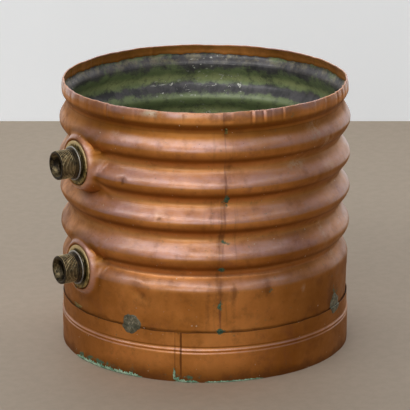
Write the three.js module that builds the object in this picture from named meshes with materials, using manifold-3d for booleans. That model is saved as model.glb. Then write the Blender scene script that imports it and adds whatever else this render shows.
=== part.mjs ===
// A copper boiler barrel: a corrugated sheet wall with a rim folded inwards, a dished bottom
// brazed into it, a lapped base skirt held by four solder tacks, and two brass pipe bosses
// in pressed seats on one side. The wall is modelled in three courses that meet in grooves.
// Millimetres, +Z up. The boiler stands on z = 0, and its pipe bosses point along -X.
// Azimuth is measured round the barrel from -Y towards +X.
import * as THREE from 'three';
import { mergeVertices } from 'three/addons/utils/BufferGeometryUtils.js';
import Module from 'manifold-3d';

const wasm = await Module();
wasm.setup();

// ---- driving dimensions ----

const SHEET = 1.0;
const GAP = 0.3;
const BARREL_FACETS = 48;
const BOSS_FACETS = 24;

// Barrel wall. Heights are above the floor, radii are of the outer face.
const RIM_TOP = 393.5;
const RIM_RADIUS = 208.6;
const RIM_BAND_BASE = 377;
const RIDGE_RADIUS = 212.5;
const GROOVE_RADIUS = 198.2;
const NECK_RADIUS = 201.7;
const NECK_HEIGHT = 362.3;
const GROOVE_HEIGHTS = [152.5, 207.7, 258.2, 309.5, NECK_HEIGHT];
const RIDGE_ROUNDNESS = 0.9;
const SHOULDER_RADIUS = 210.8;
const SHOULDER_HEIGHT = 124;
const SHOULDER_ROUNDNESS = 0.5;
const WALL_FOOT_RADIUS = 209.1;
const WALL_FOOT_HEIGHT = 55;
// The grooves where the foot course meets the ridged one, and the ridged one the rim.
const FOOT_COURSE_TOP = GROOVE_HEIGHTS[1];
const RIDGED_COURSE_TOP = NECK_HEIGHT;

// The rim is folded inwards and down. Its cut edge wanders in waves of so many to a turn.
const HEM_DEPTH = 15;
const HEM_SLOT = 0.5;
const HEM_WAVES = [{ count: 5, height: 0.85 }, { count: 13, height: 0.55 }];

// Base skirt: a band that overlaps the wall, a joggle, and a slightly wider foot.
// Just above the skirt the wall begins to widen towards its shoulder.
const SKIRT_TOP = 73.8;
const WALL_WIDENS_FROM = SKIRT_TOP + 2;
const CREASE_HEIGHT = 52.7;
const JOGGLE_BASE = 42;
const SKIRT_BAND_RADIUS = WALL_FOOT_RADIUS + GAP + SHEET;
const SKIRT_FOOT_RADIUS = 211.8;
const LAP_AZIMUTH = -41.8;
const LAP_WIDTH_DEGREES = 4.3;
const LAP_RUN_OUT_DEGREES = 24;

// Dished bottom, with a flange turned up inside the wall.
const BOTTOM_SHEET = 1.5;
const BOTTOM_FLANGE_TOP = 74;
const BOTTOM_CORNER_RADIUS = 8;
const DISH_EDGE_HEIGHT = 50;
const DISH_DEPTH = 30;

// Filler metal: the seam down the wall, the joint of the bottom, and the tacks on the skirt.
const SEAM_AZIMUTH = -25;
const SEAM_WIDTH = 4;
const FILLER_THICKNESS = 0.9;
const SEAM_END_CLEARANCE = 2;
const BRAZE_LEG = 4;
const TACK_AZIMUTHS = [-62, 32, 122, 212];
const TACK_RADIUS = 13;
const TACK_HEIGHT = 79.5;
const TACK_LOBES = 7;
const TACK_POINTS_PER_LOBE = 4;
const TACK_SCALLOP = 0.05;
const TACK_STEP = { below: 1, above: 4 };

// Pipe bosses: 1 1/4 inch pipe thread, 41.9 mm over the crests.
const THREAD_RADIUS = 20.95;
const THREAD_LENGTH = 22.3;
const NECK_OF_SPIGOT_RADIUS = 22.5;
const NECK_OF_SPIGOT_LENGTH = 7.3;
const BORE_RADIUS = 16.5;
const INNER_BORE_RADIUS = 14.5;
const BORE_STEP_DEPTH = 20;
const THREAD_CHAMFER = 1.2;
const SHOULDER_CHAMFER = 0.8;
const BORE_CHAMFER = 0.6;
const TAIL_CHAMFER = 1;
const TAIL_RADIUS = THREAD_RADIUS - GAP;
const HOLE_RADIUS = TAIL_RADIUS + GAP;
const FLANGE_RING_RADIUS = 31.5;
const FLANGE_RING_THICKNESS = 3.1;
const RING_CHAMFER = { width: 1.5, depth: 1.2, fall: 0.3 };
const OUTER_WASHER_RADIUS = 24.6;
const OUTER_WASHER_THICKNESS = 1.2;
const INNER_WASHER_RADIUS = 28;
const INNER_WASHER_THICKNESS = 1.5;
const BACKNUT_ACROSS_FLATS = 52;
const BACKNUT_THICKNESS = 10;
const BACKNUT_CHAMFER = 1.2;
const TAIL_PAST_NUT = 3;
const SEAT_RADIUS = 32.3;
const SEAT_LIP_WIDTH = 4.4;
const SEAT_LIP_HEIGHT = 3.1;
const SEAT_LIP_CREST_WIDTH = 1.6;
const SEAT_LIP_FALL = 1.2;
const SEAT_INNER_CORNER = 0.6;
const SEAT_FLARE = 13.5;
const SEAT_FLARE_DEPTH = 25;
const SEAT_FLARE_STEPS = [0.15, 0.4, 0.7, 1];
const UPPER_BOSS = { name: 'upper', height: 296, seat: 213.5 };
const LOWER_BOSS = { name: 'lower', height: 140.5, seat: 211.5 };
const BOSSES = [UPPER_BOSS, LOWER_BOSS];

// From the face of a seat to the mouth of its spigot.
const SPIGOT_REACH = GAP + FLANGE_RING_THICKNESS + GAP + OUTER_WASHER_THICKNESS + GAP
  + NECK_OF_SPIGOT_LENGTH + THREAD_LENGTH;
// The origin is under the middle of the whole boiler, so the barrel stands a little off it.
const BARREL_AXIS_X = (UPPER_BOSS.seat + SPIGOT_REACH - RIDGE_RADIUS) / 2;

// ---- finishes ----

const COPPER = { color: 0x96592f, roughness: 0.42, metalness: 1 };
const DARK_COPPER = { color: 0x6d4426, roughness: 0.6, metalness: 1 };
const OLD_BRASS = { color: 0x5a5344, roughness: 0.55, metalness: 1 };
const YELLOW_BRASS = { color: 0xa08a4c, roughness: 0.5, metalness: 1 };
const SOLDER = { color: 0x7c7a6c, roughness: 0.6, metalness: 0.8 };

function piece(name, geometry, finish) {
  const mesh = new THREE.Mesh(geometry, new THREE.MeshStandardMaterial(finish));
  mesh.name = name;
  return mesh;
}

// ---- helpers for geometry ----

const point = (x, y) => new THREE.Vector2(x, y);
const radians = THREE.MathUtils.degToRad;

// Revolves a profile of (radius, height) round +Z. The profile runs anticlockwise,
// up the outside and down the inside.
function revolve(profile) {
  return new THREE.LatheGeometry(profile, BARREL_FACETS).rotateX(Math.PI / 2);
}

// Revolves a profile of (radius, reach) round the axis of a boss, where reach grows along -X.
function turnBossPiece(profile) {
  return new THREE.LatheGeometry(profile, BOSS_FACETS).rotateZ(Math.PI / 2);
}

function closeLoop(points) {
  return [...points, points[0]];
}

function toSolid(geometry) {
  const bare = geometry.clone();
  bare.deleteAttribute('normal');
  bare.deleteAttribute('uv');
  const merged = mergeVertices(bare, 1e-4);
  const triangles = [];
  for (let i = 0; i < merged.index.count; i += 3) {
    const [a, b, c] = [0, 1, 2].map((k) => merged.index.getX(i + k));
    if (a !== b && b !== c && c !== a) triangles.push(a, b, c);
  }
  return new wasm.Manifold(new wasm.Mesh({
    numProp: 3,
    vertProperties: new Float32Array(merged.attributes.position.array),
    triVerts: new Uint32Array(triangles),
  }));
}

function toGeometry(solid) {
  const { vertProperties, triVerts } = solid.getMesh();
  const geometry = new THREE.BufferGeometry();
  geometry.setAttribute('position', new THREE.BufferAttribute(vertProperties, 3));
  geometry.setIndex(new THREE.BufferAttribute(triVerts, 1));
  geometry.computeVertexNormals();
  return geometry;
}

// Moves each point of an open profile to its left by the thickness of the sheet,
// which is inwards for a profile that runs upwards.
function offsetInwards(profile, thickness) {
  return profile.map((p, i) => {
    const before = profile[Math.max(i - 1, 0)];
    const after = profile[Math.min(i + 1, profile.length - 1)];
    const along = after.clone().sub(before).normalize();
    return point(p.x - along.y * thickness, p.y + along.x * thickness);
  });
}

// Sweeps a closed profile of (radius, height) through a run of azimuths and caps both ends.
// lift gives how far the whole profile stands out at an azimuth.
function sweepSheet(profile, azimuths, lift) {
  const count = profile.length;
  const positions = azimuths.flatMap((azimuth) => profile.flatMap((p) => {
    const radius = p.x + lift(azimuth);
    return [radius * Math.sin(radians(azimuth)), -radius * Math.cos(radians(azimuth)), p.y];
  }));
  const index = [];
  for (let i = 0; i + 1 < azimuths.length; i += 1) {
    for (let j = 0; j < count; j += 1) {
      const a = i * count + j;
      const b = i * count + ((j + 1) % count);
      index.push(a, a + count, b);
      index.push(b, a + count, b + count);
    }
  }
  const caps = THREE.ShapeUtils.triangulateShape(profile, []);
  const last = (azimuths.length - 1) * count;
  for (const [a, b, c] of caps) {
    index.push(a, b, c);
    index.push(last + a, last + c, last + b);
  }
  const geometry = new THREE.BufferGeometry();
  geometry.setAttribute('position', new THREE.Float32BufferAttribute(positions, 3));
  geometry.setIndex(index);
  geometry.computeVertexNormals();
  return geometry;
}

// ---- the barrel wall ----

// Height of a rounded ridge, from 1 at its crest (t = 0) to 0 in the grooves (t = -1 and 1).
// Full roundness gives a wave, and none a parabola that meets its groove in a corner.
function crown(t, roundness) {
  return (1 - roundness) * (1 - t * t) + roundness * (1 + Math.cos(Math.PI * t)) / 2;
}

function shoulderLine() {
  const rise = GROOVE_HEIGHTS[0] - SHOULDER_HEIGHT;
  return [0, 0.35, 0.7].map((t) => point(
    GROOVE_RADIUS + (SHOULDER_RADIUS - GROOVE_RADIUS) * crown(t, SHOULDER_ROUNDNESS),
    SHOULDER_HEIGHT + rise * t,
  ));
}

function ridgeLine(lowHeight, highHeight, highRadius) {
  return [-1, -0.7, -0.35, 0, 0.35, 0.7].map((t) => {
    const base = THREE.MathUtils.mapLinear(t, -1, 1, GROOVE_RADIUS, highRadius);
    const height = THREE.MathUtils.mapLinear(t, -1, 1, lowHeight, highHeight);
    return point(base + (RIDGE_RADIUS - base) * crown(t, RIDGE_ROUNDNESS), height);
  });
}

function neckLine() {
  return [0, 0.5, 1].map((t) => point(
    NECK_RADIUS + (RIM_RADIUS - NECK_RADIUS) * (1 - Math.cos(Math.PI * t)) / 2,
    NECK_HEIGHT + (RIM_BAND_BASE - NECK_HEIGHT) * t,
  ));
}

// The outer face of the wall, from its foot to the bottom of the rim band.
function wallLine() {
  const grooves = GROOVE_HEIGHTS.slice(0, -1);
  const ridges = grooves.flatMap((low, i) => {
    const high = GROOVE_HEIGHTS[i + 1];
    return ridgeLine(low, high, high === NECK_HEIGHT ? NECK_RADIUS : GROOVE_RADIUS);
  });
  return [
    point(WALL_FOOT_RADIUS, WALL_FOOT_HEIGHT),
    point(WALL_FOOT_RADIUS, WALL_WIDENS_FROM),
    ...shoulderLine(),
    ...ridges,
    ...neckLine(),
  ];
}

// The fold at the rim and the leg of sheet inside it, down to its cut edge.
function hemLine() {
  const foldRadius = SHEET + HEM_SLOT / 2;
  const foldCentre = point(RIM_RADIUS - foldRadius, RIM_TOP - foldRadius);
  const fold = [0, 60, 120, 180].map((degrees) => point(
    foldCentre.x + foldRadius * Math.cos(radians(degrees)),
    foldCentre.y + foldRadius * Math.sin(radians(degrees)),
  ));
  const legInner = foldCentre.x - foldRadius;
  const legOuter = legInner + SHEET;
  return [
    ...fold,
    point(legInner, RIM_TOP - HEM_DEPTH),
    point(legOuter, RIM_TOP - HEM_DEPTH),
    point(legOuter, foldCentre.y),
    point(legOuter + HEM_SLOT, foldCentre.y),
  ];
}

// Lets the cut edge of the hem wander up and down, as hand-cut sheet does.
function raggedHem(geometry) {
  const position = geometry.attributes.position;
  for (let i = 0; i < position.count; i += 1) {
    const onEdge = Math.abs(position.getZ(i) - (RIM_TOP - HEM_DEPTH)) < GAP;
    if (!onEdge) continue;
    const azimuth = Math.atan2(position.getX(i), -position.getY(i));
    const waves = HEM_WAVES.map(({ count, height }) => height * Math.sin(count * azimuth));
    position.setZ(i, position.getZ(i) + waves.reduce((sum, wave) => sum + wave));
  }
  return geometry;
}

// The wall between two heights, less half a gap where it meets the next course.
function course(low, high) {
  const line = wallLine();
  const inner = offsetInwards(line, SHEET);
  const within = (p, i) => line[i].y >= low && line[i].y <= high;
  const outerPart = line.filter(within);
  const innerPart = inner.filter(within).reverse();
  const lift = (p) => (Math.abs(p.y - low) < GAP ? p.setY(low + GAP / 2) : p);
  const sink = (p) => (Math.abs(p.y - high) < GAP ? p.setY(high - GAP / 2) : p);
  if (low > WALL_FOOT_HEIGHT) [...outerPart, ...innerPart].forEach(lift);
  if (high < RIM_TOP) [...outerPart, ...innerPart].forEach(sink);
  return { outerPart, innerPart };
}

function courseGeometry(low, high) {
  const { outerPart, innerPart } = course(low, high);
  return revolve(closeLoop([...outerPart, ...innerPart]));
}

// Everything inside the wall, as a solid that trims what is pressed out of it.
function hollow() {
  const inner = offsetInwards(wallLine(), SHEET);
  return toSolid(revolve([
    point(0, WALL_FOOT_HEIGHT),
    ...inner,
    point(0, RIM_BAND_BASE),
  ]));
}

// The pressed seat of a boss: a flat floor, a raised lip round it, and a flare into the wall.
function seatLine(seat, thickness) {
  const lipTop = seat + SEAT_LIP_HEIGHT - thickness;
  const lipOuter = SEAT_RADIUS + SEAT_LIP_WIDTH - thickness;
  const flare = SEAT_FLARE_STEPS.map((t) => point(
    lipOuter + SEAT_FLARE * t * t,
    lipTop - SEAT_FLARE_DEPTH * t,
  )).reverse();
  return { flare, lipTop, lipOuter, base: lipTop - SEAT_FLARE_DEPTH };
}

function seatBlock({ height, seat }) {
  const { flare, lipTop, lipOuter, base } = seatLine(seat, 0);
  const lipMiddle = SEAT_RADIUS + SEAT_LIP_WIDTH / 2;
  return toSolid(turnBossPiece([
    point(0, base),
    ...flare,
    point(lipOuter, lipTop - SEAT_LIP_FALL),
    point(lipMiddle + SEAT_LIP_CREST_WIDTH / 2, lipTop),
    point(lipMiddle - SEAT_LIP_CREST_WIDTH / 2, lipTop),
    point(SEAT_RADIUS, seat),
    point(0, seat),
  ]).translate(0, 0, height));
}

function seatHollow({ height, seat }) {
  const { flare, lipOuter, base } = seatLine(seat, SHEET);
  return toSolid(turnBossPiece([
    point(0, base - SEAT_FLARE_DEPTH),
    point(flare[0].x, base - SEAT_FLARE_DEPTH),
    ...flare,
    point(lipOuter - SEAT_INNER_CORNER, seat - SHEET),
    point(0, seat - SHEET),
  ]).translate(0, 0, height));
}

function spigotHole({ height, seat }) {
  return toSolid(turnBossPiece([
    point(0, seat - SEAT_FLARE),
    point(HOLE_RADIUS, seat - SEAT_FLARE),
    point(HOLE_RADIUS, seat + SEAT_FLARE),
    point(0, seat + SEAT_FLARE),
  ]).translate(0, 0, height));
}

function seatedCourse(nodeName, low, high, boss) {
  const wall = toSolid(courseGeometry(low, high))
    .add(seatBlock(boss).subtract(hollow()))
    .subtract(seatHollow(boss))
    .subtract(spigotHole(boss));
  return piece(nodeName, toGeometry(wall), COPPER);
}

function shellFoot() {
  return seatedCourse('shell_foot', WALL_FOOT_HEIGHT, FOOT_COURSE_TOP, LOWER_BOSS);
}

function shell() {
  return seatedCourse('shell', FOOT_COURSE_TOP, RIDGED_COURSE_TOP, UPPER_BOSS);
}

function shellRim() {
  const { outerPart, innerPart } = course(RIDGED_COURSE_TOP, RIM_TOP);
  const rim = revolve(closeLoop([...outerPart, ...hemLine(), ...innerPart]));
  return piece('shell_rim', raggedHem(rim), COPPER);
}

// The bead of filler down the inside of the wall's own seam.
function seamBraze() {
  const start = BOTTOM_FLANGE_TOP + GAP + BRAZE_LEG + GAP;
  const end = RIM_BAND_BASE - SEAM_END_CLEARANCE;
  const line = wallLine().filter((p) => p.y > start && p.y < end);
  line.unshift(point(WALL_FOOT_RADIUS, start));
  const outer = offsetInwards(line, SHEET + GAP);
  const inner = offsetInwards(line, SHEET + GAP + FILLER_THICKNESS).reverse();
  const band = toSolid(revolve(closeLoop([...outer, ...inner])));
  const slab = new THREE.BoxGeometry(SEAM_WIDTH, RIDGE_RADIUS, RIM_TOP)
    .translate(0, -RIDGE_RADIUS / 2 - SEAM_WIDTH, RIM_TOP / 2)
    .rotateZ(radians(SEAM_AZIMUTH));
  return piece('seam_braze', toGeometry(band.intersect(toSolid(slab))), YELLOW_BRASS);
}

// ---- base skirt ----

function skirtLine() {
  const joggle = [0, 0.5, 1].map((t) => point(
    SKIRT_FOOT_RADIUS - (SKIRT_FOOT_RADIUS - SKIRT_BAND_RADIUS) * t * t,
    JOGGLE_BASE + (CREASE_HEIGHT - JOGGLE_BASE) * t,
  ));
  return [
    point(SKIRT_FOOT_RADIUS, 0),
    ...joggle,
    point(SKIRT_BAND_RADIUS, SKIRT_TOP),
  ];
}

// The outer end of the strip rides over the inner end, then comes back to the common radius.
function lapLift(azimuth) {
  const past = azimuth - (LAP_AZIMUTH + LAP_WIDTH_DEGREES + 1);
  return (SHEET + GAP) * (1 - THREE.MathUtils.smoothstep(past, 0, LAP_RUN_OUT_DEGREES));
}

function baseSkirt() {
  const outer = skirtLine();
  const inner = outer.map((p) => point(p.x - SHEET, p.y)).reverse();
  const step = 360 / BARREL_FACETS;
  const end = LAP_AZIMUTH + LAP_WIDTH_DEGREES + 360;
  const azimuths = [LAP_AZIMUTH];
  for (let k = Math.ceil(LAP_AZIMUTH / step); k * step < end; k += 1) azimuths.push(k * step);
  azimuths.push(end);
  return piece('base_skirt', sweepSheet([...outer, ...inner], azimuths, lapLift), COPPER);
}

// ---- bottom ----

function bottomPlate() {
  const flangeRadius = WALL_FOOT_RADIUS - SHEET - GAP;
  const dishRadius = flangeRadius - BOTTOM_CORNER_RADIUS;
  const dish = [0, 0.4, 0.75].map((t) => point(
    dishRadius * t,
    DISH_EDGE_HEIGHT - DISH_DEPTH * (1 - t * t),
  ));
  const bend = [0, 45, 90].map((degrees) => point(
    dishRadius + BOTTOM_CORNER_RADIUS * Math.sin(radians(degrees)),
    DISH_EDGE_HEIGHT + BOTTOM_CORNER_RADIUS * (1 - Math.cos(radians(degrees))),
  ));
  const under = [...dish, ...bend, point(flangeRadius, BOTTOM_FLANGE_TOP)];
  const upper = offsetInwards(under, BOTTOM_SHEET).reverse();
  upper[upper.length - 1].x = 0;
  return piece('bottom_plate', revolve([...under, ...upper]), DARK_COPPER);
}

function bottomBraze() {
  const radius = WALL_FOOT_RADIUS - SHEET - GAP;
  const base = BOTTOM_FLANGE_TOP + GAP;
  return piece('bottom_braze', revolve(closeLoop([
    point(radius - BOTTOM_SHEET, base),
    point(radius, base),
    point(radius, base + BRAZE_LEG),
  ])), YELLOW_BRASS);
}

// ---- solder tacks ----

// A ring of solder that follows the wall and steps out over the top edge of the skirt.
function tackBand() {
  const onWall = SHOULDER_RADIUS + GAP;
  const onSkirt = SKIRT_BAND_RADIUS + GAP;
  const low = TACK_HEIGHT - 2 * TACK_RADIUS;
  const high = TACK_HEIGHT + 2 * TACK_RADIUS;
  const ledge = SKIRT_TOP + GAP;
  const wallAt = (z) => THREE.MathUtils.mapLinear(
    z, WALL_WIDENS_FROM, SHOULDER_HEIGHT, WALL_FOOT_RADIUS + GAP, onWall,
  );
  return toSolid(revolve(closeLoop([
    point(onSkirt, low),
    point(onSkirt + FILLER_THICKNESS, low),
    point(onSkirt + FILLER_THICKNESS, ledge - TACK_STEP.below),
    point(wallAt(ledge + TACK_STEP.above) + FILLER_THICKNESS, ledge + TACK_STEP.above),
    point(wallAt(high) + FILLER_THICKNESS, high),
    point(wallAt(high), high),
    point(wallAt(WALL_WIDENS_FROM), WALL_WIDENS_FROM),
    point(wallAt(WALL_WIDENS_FROM), ledge),
    point(onSkirt, ledge),
  ])));
}

function scallopedDisc() {
  const outline = [];
  const count = TACK_POINTS_PER_LOBE * TACK_LOBES;
  for (let i = 0; i < count; i += 1) {
    const angle = 2 * Math.PI * i / count;
    const radius = TACK_RADIUS * (1 + TACK_SCALLOP * Math.cos(TACK_LOBES * angle));
    outline.push(point(radius * Math.cos(angle), radius * Math.sin(angle)));
  }
  const depth = RIDGE_RADIUS + TACK_RADIUS;
  return new THREE.ExtrudeGeometry(new THREE.Shape(outline), { depth, bevelEnabled: false });
}

function solderTack(number, azimuth) {
  const angle = radians(azimuth);
  const across = new THREE.Vector3(Math.cos(angle), Math.sin(angle), 0);
  const up = new THREE.Vector3(0, 0, 1);
  const outwards = new THREE.Vector3(Math.sin(angle), -Math.cos(angle), 0);
  const placing = new THREE.Matrix4().makeBasis(across, up, outwards);
  placing.setPosition(0, 0, TACK_HEIGHT);
  const disc = toSolid(scallopedDisc().applyMatrix4(placing));
  return piece(`solder_tack_${number}`, toGeometry(disc.intersect(tackBand())), SOLDER);
}

// ---- pipe bosses ----

// Each function below gives a piece in the frame of its boss, with reach measured
// from the axis of the barrel.

function flangeRing({ name, seat }) {
  const back = seat + GAP;
  const front = back + FLANGE_RING_THICKNESS;
  return piece(`${name}_flange_ring`, turnBossPiece(closeLoop([
    point(FLANGE_RING_RADIUS, back),
    point(FLANGE_RING_RADIUS, front - RING_CHAMFER.depth),
    point(FLANGE_RING_RADIUS - RING_CHAMFER.width, front - RING_CHAMFER.fall),
    point(OUTER_WASHER_RADIUS + RING_CHAMFER.width, front),
    point(HOLE_RADIUS, front),
    point(HOLE_RADIUS, back),
  ])), YELLOW_BRASS);
}

function washer(nodeName, radius, back, thickness, finish) {
  return piece(nodeName, turnBossPiece(closeLoop([
    point(radius, back),
    point(radius, back + thickness),
    point(HOLE_RADIUS, back + thickness),
    point(HOLE_RADIUS, back),
  ])), finish);
}

function outerWasher({ name, seat }) {
  const back = seat + GAP + FLANGE_RING_THICKNESS + GAP;
  const nodeName = `${name}_outer_washer`;
  return washer(nodeName, OUTER_WASHER_RADIUS, back, OUTER_WASHER_THICKNESS, SOLDER);
}

function innerWasher({ name, seat }) {
  const back = seat - SHEET - GAP - INNER_WASHER_THICKNESS;
  const nodeName = `${name}_inner_washer`;
  return washer(nodeName, INNER_WASHER_RADIUS, back, INNER_WASHER_THICKNESS, YELLOW_BRASS);
}

function spigot({ name, seat }) {
  const mouth = seat + SPIGOT_REACH;
  const shoulder = mouth - THREAD_LENGTH;
  const collar = shoulder - NECK_OF_SPIGOT_LENGTH;
  const nutBack = seat - SHEET - 2 * GAP - INNER_WASHER_THICKNESS - BACKNUT_THICKNESS;
  const tail = nutBack - TAIL_PAST_NUT;
  const step = mouth - BORE_STEP_DEPTH;
  return piece(`${name}_spigot`, turnBossPiece(closeLoop([
    point(TAIL_RADIUS - TAIL_CHAMFER, tail),
    point(TAIL_RADIUS, tail + TAIL_CHAMFER),
    point(TAIL_RADIUS, collar),
    point(NECK_OF_SPIGOT_RADIUS, collar),
    point(NECK_OF_SPIGOT_RADIUS, shoulder - SHOULDER_CHAMFER),
    point(THREAD_RADIUS, shoulder),
    point(THREAD_RADIUS, mouth - THREAD_CHAMFER),
    point(THREAD_RADIUS - THREAD_CHAMFER, mouth),
    point(BORE_RADIUS + BORE_CHAMFER, mouth),
    point(BORE_RADIUS, mouth - BORE_CHAMFER),
    point(BORE_RADIUS, step + BORE_CHAMFER),
    point(INNER_BORE_RADIUS, step),
    point(INNER_BORE_RADIUS, tail),
  ])), OLD_BRASS);
}

function backnut({ name, seat }) {
  const front = seat - SHEET - 2 * GAP - INNER_WASHER_THICKNESS;
  const back = front - BACKNUT_THICKNESS;
  const corner = BACKNUT_ACROSS_FLATS / 2 / Math.cos(Math.PI / 6);
  const hexagon = new THREE.Shape();
  for (let i = 0; i < 6; i += 1) {
    const angle = Math.PI * i / 3;
    const [x, y] = [corner * Math.cos(angle), corner * Math.sin(angle)];
    if (i === 0) hexagon.moveTo(x, y);
    else hexagon.lineTo(x, y);
  }
  hexagon.closePath();
  const blank = new THREE.ExtrudeGeometry(hexagon, {
    depth: BACKNUT_THICKNESS,
    bevelEnabled: false,
  }).rotateY(-Math.PI / 2).translate(-back, 0, 0);
  const clear = corner + GAP;
  const turned = toSolid(turnBossPiece([
    point(0, back),
    point(clear - BACKNUT_CHAMFER, back),
    point(clear, back + BACKNUT_CHAMFER),
    point(clear, front),
    point(0, front),
  ]));
  const hole = toSolid(turnBossPiece([
    point(0, back - GAP),
    point(HOLE_RADIUS, back - GAP),
    point(HOLE_RADIUS, front + GAP),
    point(0, front + GAP),
  ]));
  const nut = toSolid(blank).intersect(turned).subtract(hole);
  return piece(`${name}_backnut`, toGeometry(nut), YELLOW_BRASS);
}

function pipeBoss(boss) {
  const group = new THREE.Group();
  group.add(
    spigot(boss),
    flangeRing(boss),
    outerWasher(boss),
    innerWasher(boss),
    backnut(boss),
  );
  group.position.z = boss.height;
  return group;
}

// ---- the boiler ----

const barrel = new THREE.Group();
barrel.add(shellFoot(), shell(), shellRim(), seamBraze());
barrel.add(baseSkirt(), bottomPlate(), bottomBraze());
TACK_AZIMUTHS.forEach((azimuth, i) => barrel.add(solderTack(i + 1, azimuth)));
for (const boss of BOSSES) barrel.add(pipeBoss(boss));
barrel.position.x = BARREL_AXIS_X;

const boiler = new THREE.Group();
boiler.add(barrel);

export default boiler;
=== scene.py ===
# %% [markdown]
# # An old copper boiler barrel
# The object is the barrel of a copper boiler: one sheet of copper, rolled to a cylinder,
# corrugated with four ridges and folded inwards at the rim. It stands on a lapped skirt, and
# two brass spigots with pipe threads sit in pressed seats on one side.
# The lesson follows the coppersmith: each piece of sheet starts as a flat grid, which is then
# rolled, pressed, folded and dented, so that its surface stays one even net of faces.

# %% Load the frame
from math import cos, pi, radians, sin

import bpy
import numpy as np
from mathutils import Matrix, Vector


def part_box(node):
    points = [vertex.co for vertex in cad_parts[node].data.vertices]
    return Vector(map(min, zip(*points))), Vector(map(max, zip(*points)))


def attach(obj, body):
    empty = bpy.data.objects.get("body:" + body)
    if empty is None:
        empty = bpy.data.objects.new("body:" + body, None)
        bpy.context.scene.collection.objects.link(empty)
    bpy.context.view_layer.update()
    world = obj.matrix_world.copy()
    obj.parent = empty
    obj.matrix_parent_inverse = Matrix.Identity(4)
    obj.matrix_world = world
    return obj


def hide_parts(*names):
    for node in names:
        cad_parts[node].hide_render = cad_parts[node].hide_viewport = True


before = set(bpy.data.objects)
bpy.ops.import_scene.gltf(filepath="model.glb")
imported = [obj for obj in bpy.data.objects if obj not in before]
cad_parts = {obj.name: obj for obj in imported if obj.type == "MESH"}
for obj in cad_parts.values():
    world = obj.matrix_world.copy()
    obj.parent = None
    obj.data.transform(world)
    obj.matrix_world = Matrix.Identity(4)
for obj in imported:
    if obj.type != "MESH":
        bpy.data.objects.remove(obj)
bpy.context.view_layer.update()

# %% [markdown]
# ## Sizes
# The CAD model is the frame, so the sizes that it can tell are read from it: the axis of the
# barrel is the middle of the round bottom plate, and the rim is the top of the shell. The
# others are the same driving dimensions as the solids were made from.

# %% Sizes
MM = 0.001
bottom_low, bottom_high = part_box("bottom_plate")
AXIS_X = (bottom_low.x + bottom_high.x) / 2
SHELL_NODES = [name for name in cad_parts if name.startswith("shell")]
RIM_TOP = max(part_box(name)[1].z for name in SHELL_NODES)
RIDGE_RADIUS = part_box("shell")[1].x - AXIS_X
GROOVE_RADIUS = 198.2 * MM
NECK_RADIUS = 201.7 * MM
RIM_RADIUS = 208.6 * MM
RIM_BAND_BASE = 377 * MM
NECK_HEIGHT = 362.3 * MM
GROOVE_HEIGHTS = [152.5 * MM, 207.7 * MM, 258.2 * MM, 309.5 * MM, NECK_HEIGHT]
SHOULDER_HEIGHT = 132 * MM
SHOULDER_RADIUS = 210.8 * MM
FOOT_HEIGHT = 55 * MM
FOOT_RADIUS = 209.1 * MM
SKIRT_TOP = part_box("base_skirt")[1].z
SHEET = 1.0 * MM
# the gap that the solids leave between pieces that are brazed or soldered together
GAP = 0.3 * MM
RIM_NODES = [name for name in SHELL_NODES if name.endswith("rim")]
WALL_NODES = [name for name in SHELL_NODES if name not in RIM_NODES]
SEAM_AZIMUTH = -25
BOSS_AZIMUTH = -90
print("barrel axis at x =", round(AXIS_X, 4), "rim at", round(RIM_TOP, 4))

# %% [markdown]
# ## Camera
# The camera stands where the photographer stood: about 3.5 m from the barrel with a long lens,
# 17 degrees above its middle. A long lens keeps the ellipses of the rim and foot alike.

# %% Camera
CAMERA_DISTANCE = 3.554
CAMERA_HEIGHT = 1.276
CAMERA_AZIMUTH = radians(-32)
CAMERA_PITCH = radians(16.87)

camera_data = bpy.data.cameras.new("camera")
camera_data.lens = 221.5
camera_data.sensor_width = 36
camera = bpy.data.objects.new("camera", camera_data)
bpy.context.scene.collection.objects.link(camera)
camera.location = (
    AXIS_X + CAMERA_DISTANCE * sin(CAMERA_AZIMUTH),
    -CAMERA_DISTANCE * cos(CAMERA_AZIMUTH),
    CAMERA_HEIGHT,
)
camera.rotation_euler = (pi / 2 - CAMERA_PITCH, 0, CAMERA_AZIMUTH)
bpy.context.scene.camera = camera
print("camera at", tuple(round(c, 3) for c in camera.location))

# %% [markdown]
# ## Helpers
# Operators act on what is selected, so each piece starts with nothing selected.

# %% Helpers for selection
def leave_edit():
    bpy.ops.object.mode_set(mode="OBJECT")


def start_fresh():
    if bpy.context.object and bpy.context.object.mode != "OBJECT":
        leave_edit()
    bpy.ops.object.select_all(action="DESELECT")


def select_only(piece):
    start_fresh()
    piece.select_set(True)
    bpy.context.view_layer.objects.active = piece


def edit(piece):
    select_only(piece)
    bpy.ops.object.mode_set(mode="EDIT")
    bpy.ops.mesh.select_all(action="SELECT")


def pick(piece, chosen):
    data = piece.data
    bpy.context.tool_settings.mesh_select_mode = (True, False, False)
    data.polygons.foreach_set("select", np.zeros(len(data.polygons), dtype=bool))
    data.edges.foreach_set("select", np.zeros(len(data.edges), dtype=bool))
    data.vertices.foreach_set("select", np.asarray(chosen, dtype=bool))

# %% [markdown]
# The places of all vertices are read and written in one go as arrays, which is quick and keeps
# the bending of the sheet readable as formulas. These are built of soft steps, of bells, each
# with a middle and a half width, and of ripples round the barrel. An attribute is a number at
# every vertex, which a finish can read later.

# %% Helpers for places, attributes and formulas
def places(piece):
    co = np.empty(len(piece.data.vertices) * 3)
    piece.data.vertices.foreach_get("co", co)
    return co.reshape(-1, 3)


def put(piece, co):
    piece.data.vertices.foreach_set("co", co.astype(np.float32).ravel())
    piece.data.update()


def note(piece, name, values):
    made = piece.data.attributes.new(name, "FLOAT", "POINT")
    made.data.foreach_set("value", values.astype(np.float32))


def smoothstep(x, low, high):
    t = np.clip((x - low) / (high - low), 0, 1)
    return t * t * (3 - 2 * t)


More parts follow.
